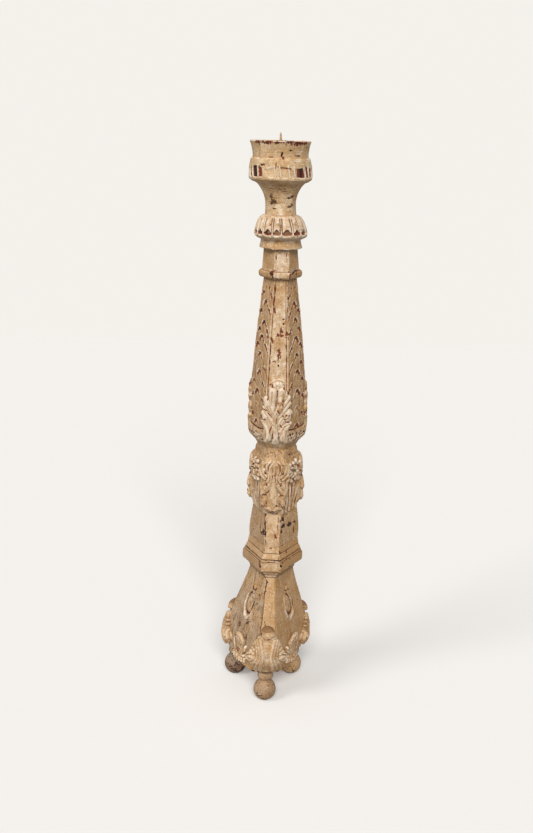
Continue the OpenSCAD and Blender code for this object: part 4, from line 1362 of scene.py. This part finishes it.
def knop_leaf():
    """Hanging acanthus: ridges wind round two hollow eyes, a trunk runs down between them into a broad drooping leaf
    with two lobes each side and a parted lower lip, and long folds hem it round."""
    b = Block(37, 116, 20, 0.9)
    b.limb([(0, 104), (0, 84), (0, 62), (0, 42), (0, 20)], [10, 12, 19, 22, 18], [1, 1.5, 2, 3, 4], 5.5, 2.0)
    for path in both([(32, 74), (33, 54), (30, 34), (22, 15), (10, 4), (0, 1)]):
        b.limb(path, [2.4, 3, 3.2, 3.2, 3.2, 3.2], [1, 1.5, 2, 3.5, 4.5, 5], 4, 1.0)      # outer fold
    for path in both([(26, 64), (27, 48), (24, 32), (17, 17)]):
        b.limb(path, [2, 2.6, 3, 2.8], [2, 2.6, 4, 5.5], 4, 1.0)                          # inner fold
    for curve, size in (([(2, 112), (8, 106), (10, 96), (7, 86), (5, 76), (7, 66)], 2.6),
                        ([(8, 115), (16, 109), (17, 99), (12, 89), (10, 80), (14, 71)], 2.7),
                        ([(17, 113), (25, 108), (28, 100), (26, 92), (21, 87), (16, 82)], 2.8),
                        ([(28, 110), (34, 103), (35, 93), (32, 84), (26, 80), (20, 76)], 2.8)):
        for path in both(rounded(curve)):
            b.limb(path, [1.15 * size] * len(path), list(np.linspace(4, 6, len(path))), 3.8, 0.5)
    b.limb([(0, 114), (0, 98), (0, 82), (0, 64)], [5, 2.4, 3.5, 7], [3, 4.5, 6, 6.5], 4.5, 1.5)
    for path in both([(4, 66), (12, 61), (20, 52), (24, 44)]):
        radii = [5.5, 7.2, 7.4, 4.8]
        b.limb(path, radii, [5.5, 7, 8.2, 9.6], 5, 0.4)                                      # upper lobe
        veins(b, path, radii, 12.0, ((0.25, -1), (-0.4, -2)))
    for path in both([(6, 46), (13, 38), (19, 28), (21, 20)]):
        radii = [5, 6.4, 6.4, 4.2]
        b.limb(path, radii, [6, 7, 8.5, 10], 5, 0.6)                                      # lower lobe
        veins(b, path, radii, 13.0, ((0.2, -2),))
    for path in both([(18, 46), (23, 41), (20, 36)]):
        b.limb(path, [2.6, 3.4, 2.2], [9, 9.5, 8.5], 4, 0.4)                              # curled tip
    b.limb([(0, 86), (0, 68), (0, 50), (0, 32), (0, 20)], [2.5, 5.5, 8.5, 12, 12.5], [5.5, 6.5, 7.5, 8.5, 9], 6, 1.8)
    for path in both([(3, 9), (8, 13), (15, 12)]):
        b.limb(path, [3, 4.4, 3], [12.5, 12.5, 10.5], 4.5, 0.4)                           # parted lip
    for path in both([(5, 62), (6.5, 42), (8, 26)]):
        b.groove(path, 0.8, 14.6, 0.5)
    for side in (-1, 1):
        b.groove([(side * 19.5, 95), (side * 18, 90)], 3.0, 9.5, 0.5)
        b.spot(side * 19, 92, 3.4, 5.0, side * 10, 0.7, 0.55)
        b.spot(side * 13, 99, 1.3, 6, 0, 0.8, 0.2)
        b.spot(side * 17, 66, 5.5, 1.8, side * 22, 1, 0.1)
        b.groove([(side * 13, 67), (side * 21, 64)], 1.6, 8.6, 0.4)
        b.spot(side * 16, 43, 4.5, 1.3, side * 18, 1, 0)
        b.spot(side * 21, 16, 1.4, 4, 0, 0.9, 0.4)
    b.spot(0, 6, 6, 2.2, 0, 1, 0.25)
    b.spot(-4, 2, 2.4, 1.2, 0, 0.3, 1)
    b.groove([(-4, 5), (4, 5)], 1.8, 12.5, 0.4)
    b.groove([(7, 21), (7, 21.4)], 1.9, 15.5, 0.3)                                        # nail hole
    b.spot(7, 21, 2.2, 2.2, 0, 0.3, 1)
    return b.shell()


def rosette_cluster(turn):
    """Small five-petalled flowers bunched on the wide side, with drilled eyes and pits between them."""
    b = Block(32, 58, 16, 0.9)
    rng = np.random.default_rng(5 + turn)
    flowers = [(-19, 41, 11.5), (1, 46, 12), (21, 38, 11.5), (-14, 20, 11.5), (8, 21, 12.5)]
    for cx, cz, r in flowers:
        start = rng.uniform(0, 72)
        lift = rng.uniform(-0.5, 1.5)
        for i in range(5):
            size = rng.uniform(0.9, 1.15) * r
            at, tip = (arc((cx, cz), share * r, start + 72 * i, 0, 1)[0] for share in (0.34, 0.74))
            b.lobe(at, tip, 0.24 * size, 0.36 * size, 3.6 + lift, 4.8 + lift, 3.6, 0.5)
        b.groove([(cx, cz), (cx + 0.3, cz)], 2.2, 8.0 + lift, 0.4)
        b.spot(cx, cz, 2.0, 2.0, 0, 0.9, 0.5 * (cx > 0))
        for i in range(5):
            near, middle, far = (arc((cx, cz), share * r, start + 36 + 72 * i, 0, 1)[0] for share in (0.4, 0.85, 0.95))
            b.groove([near, far], 0.8, 7.2 + lift, 0.3)
            b.spot(*middle, 2.2, 2.2, 0, 1, 0.8 * (i % 2))
    return b.shell()


PALMETTE_TOP = 74.0


def palmette_depth(u):
    """How far the palmette's crest stands out from the corner, from its foot (0) to its top edge (1)."""
    table = [(0, 14.5), (0.12, 19.5), (0.33, 23), (0.6, 17.5), (0.85, 12), (1, 10)]
    return float(np.interp(u, [r[0] for r in table], [r[1] for r in table]))


def rib_place(k, u):
    """Where rib number k runs across: ribs spread at the top edge, gather at the waist and fan out again below."""
    gap = np.interp(u, [0, 0.2, 0.45, 0.58, 0.8, 1], [7.6, 6.2, 4.6, 4.4, 4.9, 5.6])
    return k * gap + np.sign(k) * np.interp(u, [0, 0.2, 0.5, 0.8, 1], [3.0, 3.2, 2.0, 4.6, 7.5])


def palmette():
    """Fluted shell: an hourglass fan of ribs round a plain middle with a bud, and a volute at each side."""
    b = Block(44, PALMETTE_TOP + 4, 32, 1.0, back=16)
    steps = 12
    for i in range(steps - 1):
        u0, u1 = i / (steps - 1), (i + 1) / (steps - 1)
        half = [np.interp(u, [0, 0.12, 0.3, 0.5, 0.75, 1], [16, 27, 31, 27, 23, 23]) for u in (u0, u1)]
        b.lobe((0, u0 * 66 + 5), (0, u1 * 66 + 5), half[0], half[1], -3, -3, palmette_depth((u0 + u1) / 2) + 1, 1.0)
    for k in (-3, -2, -1, 1, 2, 3):
        low = (0.02, 0.05, 0.16)[abs(k) - 1]
        top = (1.0, 0.98, 0.93)[abs(k) - 1]
        path, radii, depths = [], [], []
        for i in range(steps):
            u = low + (top - low) * i / (steps - 1)
            path.append((rib_place(k, u), PALMETTE_TOP * u))
            radii.append(2.8 + 0.9 * abs(np.interp(u, [0, 0.5, 1], [1, 0, 1])))
            depths.append(palmette_depth(u) - 0.35 * k * k - 0.8)
        b.limb(path, radii, depths, 4.6, 0.4)
    for k in (-3.5, -2.5, -1.5, 1.5, 2.5, 3.5):
        for i in range(1, steps - 1):
            u0, u1 = i / (steps - 1), (i + 1) / (steps - 1)
            depth = palmette_depth((u0 + u1) / 2) + 4.2 - 0.5 * k * k
            b.groove([(rib_place(k, u0), PALMETTE_TOP * u0), (rib_place(k, u1), PALMETTE_TOP * u1)], 1.4, depth - 0.2,
                     0.4)
    for path in both(spiral((31, 28), 10.5, 80, -400, 20, 0.7)):
        b.limb(path, [2.6] * 20, list(np.linspace(9, 13, 20)), 5, 0.4)               # side volute
    for side in (-1, 1):
        b.lobe((side * 31, 28), (side * 31, 28), 3.2, 3.2, 12, 12, 4.5, 0.4)
        b.lobe((side * 29, 27), (side * 29, 27), 11, 11, 0, 0, 9.5, 1.0)
        for t, z, r in ((34, 42, 4.5), (30, 53, 3.6), (28, 62, 3.0)):                # frill at the shoulder
            b.lobe((side * (t - 7), z - 4), (side * t, z), r, r - 1, 6, 4, 6, 1.2)
        for i, (t, z) in enumerate(((28, 12), (35, 19))):
            b.lobe((side * (t - 5), z + 5), (side * t, z), 4.6, 3.6, 10, 8, 5, 0.4)
    b.limb([(0, 3), (0, 12), (0, 22)], [7.5, 5.5, 2.2], [12.5, 15.0, 17.5], 5, 1.2)  # bud
    b.groove([(-22, 70), (22, 70)], 0.9, 19.0, 0.4)
    return b.shell()


def corner_scroll():
    """A leaf end rolled over itself: a coiled face on each side, a lip in front and a hollow behind it."""
    b = Block(17, 34, 28, 0.8, back=6)
    zc, dc = 14.5, 3.5
    away = np.sqrt((b.Z - zc) ** 2 + (b.D - dc) ** 2)
    angle = np.arctan2(b.Z - zc, b.D - dc)
    barrel = 12.8 - 0.030 * b.T**2 + 1.6 * np.sin(angle * 0.5 + 0.3)
    b.join(np.maximum(away - barrel, np.abs(b.T) - 13.0), 1.5)
    b.join(np.maximum(away - 6.0, np.abs(b.T) - 15.0), 0.6)
    coil = np.abs(((away - 1.25 * (angle + math.pi)) % 7.8) - 3.9) - 0.9
    b.cut(np.maximum(coil, 10.5 - np.abs(b.T)), 0.5)
    b.limb(arc((0, 13), 12.5, -10, 190, 14, 0.95), [2.8] * 14, [8] * 14, 4.5, 0.8)    # rolled rim
    bow = arc((0, 13), 7.2, 0, 180, 10, 0.95)
    for one, two in zip(bow, bow[1:]):                                               # hollow under it
        b.groove([one, two], 2.2, dc - 0.3 + math.sqrt(12.8**2 - ((one[1] + two[1]) / 2 - zc) ** 2), 0.5)
    b.lobe((-2, 10), (3, 10), 6.0, 5.5, 11.0, 11.0, 5.0, 0.8)
    b.spot(2, 7, 1.8, 1.4, 0, 1, 0.2)
    b.spot(-13, 16, 1.6, 4, 0, 0.4, 0.6)
    return b.shell()


def face_shell():
    """A cupped leaf with fanned flutes over a fringe of small lobes, at the foot of a wide board."""
    b = Block(27, 68, 20, 1.0, back=5)
    for i in range(-3, 4):
        v = i / 3
        b.leaflet([(i * 2.2, 26), (i * 3.8, 42), (i * 4.6, 60 - 9 * v * v)], [2.6, 3.8, 3.0],
                  [4, 6.5 - 1.5 * v * v, 9 - 2 * v * v], 5, 0.8)
    b.limb([(-12, 55), (-3, 64), (6, 64), (14, 54)], [3.0, 4.2, 4.2, 3.0], [8, 9, 9, 8], 4.5)
    for path in both([(3, 24), (12, 26), (19, 34), (21, 42)]):
        b.leaflet(path, [4, 5, 4.5, 3], [5, 5.5, 6, 6], 5, 0.9)
    for i in range(-3, 4):
        b.lobe((i * 6.6, 12), (i * 7.2, 4 + abs(i)), 4.0, 3.2, 4, 5.5, 5, 0.5)
    b.lobe((-16, 17), (16, 17), 4.2, 4.2, 3, 3, 4.5, 1.0)
    b.lobe((0, 22), (0, 14), 5.5, 4, 6, 7, 5, 0.6)
    b.groove([(0, 24), (0, 25)], 2.2, 11, 0.4)
    return b.shell()


def make_ornaments():
    shaft = Profile(section_levels("main_shaft"), 7)
    bulb = Profile(section_levels("middle_knop"), 6)
    base = base_profile()
    small = face_shell()
    # on the corners: piece, its carving, CAD node, profile, radius, outer, seed, chips, pale in front and behind,
    # recess colour (painted shade in recesses, with red ground and dark)
    kinds = [("acanthus_{}", shaft_leaf(), "shaft_leaf_{}", shaft, 44, 8, 81, 0.15, 0.6, 0.3, 0.4),
             ("hanging_leaf_{}", knop_leaf(), "knop_leaf_{}", bulb, 40, 8, 91, 0.15, 0.28, 0.28, 0.6),
             ("palmette_{}_carved", palmette(), "palmette_{}", base, 46, 0, 101, 0.0, 0.6, 0.35, 0.6),
             ("scroll_{}", corner_scroll(), "corner_scroll_{}", base, 200, 0, 111, 0.05, 0.1, 0.1, 0.35)]
    for i, (side, turn) in enumerate(CORNERS.items()):
        for name, source, node, profile, radius, outer, seed, chips, front, behind, recess_colour in kinds:
            piece_on_corner(name.format(side), source, node.format(side), profile, turn, radius, outer, seed + i, chips,
                            behind if turn else front, recess_colour)
    for i, (side, turn) in enumerate(FACES.items()):
        flowers = rosette_cluster(turn)
        wrap(flowers, span(f"rosette_{side}")[0] - 9, bulb.flat, turn, 90)
        wear_and_shade(flowers, 121 + i, grain=0.03, dents=0.15, chips=0.1, chip_size=5, patchy=0.8, recess_colour=0.7)
        shade_and_stain_seams(flowers, 121 + i, 1.0, 0.05, 0.5)
        piece(f"flowers_{side}", flowers, f"rosette_{side}")
        leaf_small = deepcopy(small)
        wrap(leaf_small, span(f"face_shell_{side}")[0], base.flat, turn, 60)
        wear_and_shade(leaf_small, 131 + i, grain=0.04, dents=0.3, chips=0.2, chip_size=6, recess_colour=0.8)
        shade_and_stain_seams(leaf_small, 131 + i, 0.9, 0.0, 0.3)
        piece(f"face_leaf_{side}", leaf_small, f"face_shell_{side}")


def piece_on_corner(name, source, node, profile, turn, radius, outer, seed, chips, pale, recess_colour):
    shell = deepcopy(source)
    wrap(shell, span(node)[0], profile.reach, turn, radius, outer)
    wear_and_shade(shell, seed, grain=0.04, dents=0.35, chips=chips, chip_size=6, patchy=0.7, recess_colour=recess_colour, crests=0.45)
    shade_and_stain_seams(shell, seed, min(recess_colour + 0.35, 1.0), 0.0, pale)
    if node.startswith("palmette"):
        shell.red *= 0.15                        # these have kept their paint
        # Less pale in the seams: painted shade
        shell.pale = (0.42 if turn == 0 else 0.3) * (1 - 0.5 * shell.seam)
        shell.deep = 0.8 * shell.deep
    if node.startswith("corner_scroll"):
        # Painted shade: the upper part of the scroll, round the rolled rim and its hollow, is tinted ochre and darkened
        shell.ochre = 0.8 * step(shell.p[:, 2], span(node)[0] + 14, span(node)[0] + 24)
        shell.more(deep=shell.ochre)
    piece(name, shell, node)


# ------------------------------------------------------------------ boarded base

BOARD_THICKNESS = 12.0
CARTOUCHE_UP = 124.0      # its middle, above the boards' foot


def base_profile():
    """The base's outline, from the bottom board and the front corner strip."""
    rows = {tuple(row) for node in ("bottom_board", "corner_strip_front") for row in section_levels(node, 40, 12)}
    return Profile(np.array(sorted(rows)), 6)


def board_shell(profile, low, high, side, spacing=1.3, gap=0.35):
    """One board of the base as a closed slab, its edges mitred into the next board. Returns it with each point's place
    across and height, where its outer face is, and the way out."""
    z = np.linspace(low, high, int((high - low) / spacing) + 1)
    narrow = side % 2 == 0
    length = profile.narrow(z) if narrow else profile.wide(z)
    reach = profile.reach(z) if narrow else profile.flat(z)
    inner = length - 2 * BOARD_THICKNESS / ROOT3
    n = max(int(length.max() / spacing), 8)
    t = np.linspace(-0.5, 0.5, n + 1)
    out, along = directions(60 * side)
    round_off = 0.8 * step(np.abs(t), 0.47, 0.5)
    front = np.stack([(length - 2 * gap)[:, None] * t, reach[:, None] - round_off])      # across and outwards
    back = np.stack([((inner - 2 * gap)[:, None] * t)[:, ::-1],
                     np.repeat((reach - BOARD_THICKNESS)[:, None], n + 1, 1)])
    share = np.arange(1, 4) / 4
    edges = [one[:, :, -1:] * (1 - share) + two[:, :, :1] * share for one, two in ((front, back), (back, front))]
    q, r = np.concatenate([front, edges[0], back, edges[1]], axis=2)
    rows = r[..., None] * out + q[..., None] * along + z[:, None, None] * [0, 0, 1]
    shell = Shell(*ring_grid(rows))
    place = np.concatenate([np.tile(np.concatenate([t, np.full(q.shape[1] - n - 1, 9.0)]), len(z)), [9, 9]])
    across = np.concatenate([q.reshape(-1), [0, 0]])
    height = np.concatenate([np.repeat(z, q.shape[1]), [low, high]])
    return shell, across, height, np.abs(place) < 1, out


def cartouche(q, z, low):
    """A teardrop hollow with an oval boss in it, inside a raised leafy border that hooks over at the top. Returns the
    shift, where the ground shows, and the raised border."""
    dz = z - (low + CARTOUCHE_UP)
    q = q + 2.0 * np.sin(dz / 18)
    inner = np.hypot(q / (12.0 - 0.12 * dz), (dz - 1) / 24)
    outer = np.hypot((q + 1) / (22.0 - 0.20 * dz), (dz + 3) / 41)
    boss = np.clip(1 - (inner / 0.8) ** 2, 0, 1) ** 0.5
    ring = np.exp(-(((inner - 0.95) / 0.14) ** 2))
    border = step(inner, 1.0, 1.25) * step(1.0 - outer, 0, 0.4)
    hook = np.hypot(q - 4, (dz - 38) / 0.8)
    curl = step(7.5 - hook, 0, 2.5)
    slit = np.exp(-(((hook - 9.0) / 1.3) ** 2)) * step(38 - dz, -3, 1) * step(q, -9, -5)
    return 1.6 * boss + 2.6 * border + 2.6 * curl - 2.8 * ring - 2.6 * slit, np.maximum(ring, slit), border


def make_base():
    profile = base_profile()
    low = span("bottom_board")[1]
    high = span("base_cap")[0]
    names = {0: "corner_strip_front", 2: "corner_strip_right", 4: "corner_strip_left",
             1: "face_board_right", 3: "face_board_back", 5: "face_board_left"}
    for side, node in names.items():
        shell, q, z, face, out = board_shell(profile, low, high, side)
        recess_colour = 0 * q
        if side % 2 == 1:
            shift, recess_colour, border = cartouche(q, z, low)
            shell.p += out * (shift * face)[:, None]
            shell.more(pale=0.9 * border * face * step(fbm(shell.p, 12, 3, 150 + side), -0.6, 0.25))
        wear_and_shade(shell, 141 + side, grain=0.35, dents=0.8, chips=0.3, chip_size=9, crests=0.25)
        patch = fbm(shell.p, 8, 3, 160 + side)
        shell.more(red=face * step(recess_colour + 0.7 * patch, 0.45, 0.75))
        shell.more(dark=face * step(recess_colour + 0.8 * fbm(shell.p, 10, 3, 170 + side), 1.0, 1.2))
        streaks = fbm(shell.p, [5, 5, 30], 3, 180 + side)
        shell.more(deep=(0.7 if side == 5 else 0.4) * step(streaks, -0.05, 0.5))
        shell.ochre = np.full(len(q), 0.65 if side in (1, 3) else 0.55 if side % 2 == 0 else 0.25)
        shell.pits = np.full(len(q), 0.95 if side == 5 else 0.5 if side == 1 else 0.15)
        if side == 0:
            wander = 1.6 * fbm(np.stack([0 * z, 0 * z, z], 1), 22, 3, 6)
            split = np.exp(-(((q + profile.narrow(z) / 2 - 1.0 + wander) / 1.7) ** 2))
            crack = face * split * step(high - 4 - z, 0, 4) * step(z, low + 74, low + 84)
            shell.p -= out * (3.5 * crack)[:, None]
            shell.more(dark=step(crack, 0.2, 0.5))
            mark_side(shell, profile, side, -9, high - 10, (5, 4), 0, 195, 0.6, 1, broken=0.4)
            mark_side(shell, profile, side, -6, low + 98, (1.4, 16), -8, 196, 0.4, 0.9, broken=0.4)
            mark_side(shell, profile, side, 6, low + 120, (5, 10), 0, 197, 0.2, 0.4, broken=1.2)
        if side == 5:
            shell.grey[:] = 0.55 * step(high - z, 10, 70) * step(fbm(shell.p, 40, 2, 192), -0.9, 0.1)
            for i, (x, up, across, tall) in enumerate([(-15, 66, 8, 6), (11, 84, 7, 8), (17, 52, 6, 8)]):
                mark_side(shell, profile, side, x, low + up, (across, tall), 0, 220 + i, 0.1, 0.6, 0.5, 1.5, (1.6, 2.4))
        if side == 3:
            shell.grey[:] = 0.4
        if side % 2 == 1:
            x, up, half, tilt = {5: (2, 160, (3, 11), -35), 1: (7, 156, (9, 2.6), 22), 3: (-3, 158, (5, 6), 0)}[side]
            mark_side(shell, profile, side, x, low + up, half, tilt, 230 + side, 1, 0.3, 0.6, 0.7)
            mark_side(shell, profile, side, x + 14, low + up - 34, (2.4, 13), 0, 240 + side, 0.5, 0.7, 1.2, 0.8)
        name = "strip" if side % 2 == 0 else "board"
        piece(f"{name}_{node.split('_')[-1]}_worn", shell, node)
    s = plain_section("bottom_board", 67, False, 1.4, soften=2.0, shape=lambda s, low,
                      high: -5.0 * np.abs(2 * s.u) ** 4)
    piece("bottom_board_worn", s.shell, "bottom_board")


# ------------------------------------------------------------------ stage, light and camera


def make_stage():
    """Pale floor and wall. Their papers differ a little, so that both read alike under the light."""
    half, front, back, top = 8.0, -5.0, 3.6, 7.0
    sheets = {"studio_floor": ((front, 0.0), (back, 0.0), (243, 241, 238)),
              "studio_wall": ((back, 0.0), (back, top), (235, 233, 229))}
    for name, ((y0, z0), (y1, z1), paper) in sheets.items():
        n = Nodes(name)
        n.surface(Base_Color=srgb(*paper), Roughness=0.95, Specular_IOR_Level=0.0, Emission_Color=srgb(*paper),
                  Emission_Strength=0.07)
        mesh = bpy.data.meshes.new(name)
        mesh.from_pydata([(-half, y0, z0), (half, y0, z0), (half, y1, z1), (-half, y1, z1)], [], [(0, 1, 2, 3)])
        mesh.materials.append(n.material)
        obj = add_object(name, mesh)
        obj.visible_diffuse = False


def soft_sun(name, energy, spread, up, azimuth, colour):
    """A big soft light: how high it stands, and its azimuth from the front, to the left, in degrees."""
    sun = bpy.data.lights.new(name, "SUN")
    sun.energy, sun.angle, sun.color = energy, math.radians(spread), colour
    add_object(name, sun).rotation_euler = (math.radians(90 - up), 0, math.radians(-azimuth))


def make_light():
    world = bpy.data.worlds.new("soft_room")
    world.use_nodes = True
    world.node_tree.nodes["Background"].inputs["Color"].default_value = (1.0, 0.985, 0.965, 1)
    world.node_tree.nodes["Background"].inputs["Strength"].default_value = 0.27
    bpy.context.scene.world = world
    soft_sun("big_softbox", 2.5, 30, 38, -2, (1.0, 0.99, 0.98))
    soft_sun("side_softbox", 0.95, 22, 38, 58, (1.0, 0.99, 0.98))


# Camera: how far in front of the axis, how high, how far it looks down, and how it leans
CAMERA_BACK, CAMERA_UP = 1.990, 1.216
CAMERA_PITCH, CAMERA_YAW, CAMERA_ROLL = 16.5, 0.485, 1.73
SENSOR = 36.0
FOCAL_HEIGHTS = 985 / 833


def make_camera():
    data = bpy.data.cameras.new("camera")
    data.sensor_fit = "VERTICAL"
    data.sensor_height = SENSOR
    data.lens = SENSOR * FOCAL_HEIGHTS
    data.clip_end = 50
    turn = (Matrix.Rotation(math.radians(CAMERA_YAW), 4, "Z") @ Matrix.Rotation(math.radians(90 - CAMERA_PITCH), 4, "X")
            @ Matrix.Rotation(math.radians(CAMERA_ROLL), 4, "Z"))
    obj = add_object("camera", data)
    obj.matrix_world = Matrix.Translation((0, -CAMERA_BACK, CAMERA_UP)) @ turn
    bpy.context.scene.camera = obj
    bpy.context.scene.view_settings.view_transform = "Standard"


# ------------------------------------------------------------------ everything

for make in (make_camera, make_stage, make_light, make_cup, make_knop, make_collar, make_spike, make_blocks, make_shaft,
             make_bulb, make_stem, make_base, make_feet, make_ornaments):
    make()
for node in ("base_post", "stem_dowel", "waist_dowel", "neck_dowel", "leaf_nails"):
    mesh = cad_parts[node].data
    mesh.materials.clear()
    mesh.materials.append(IRON if node == "leaf_nails" else WOOD)
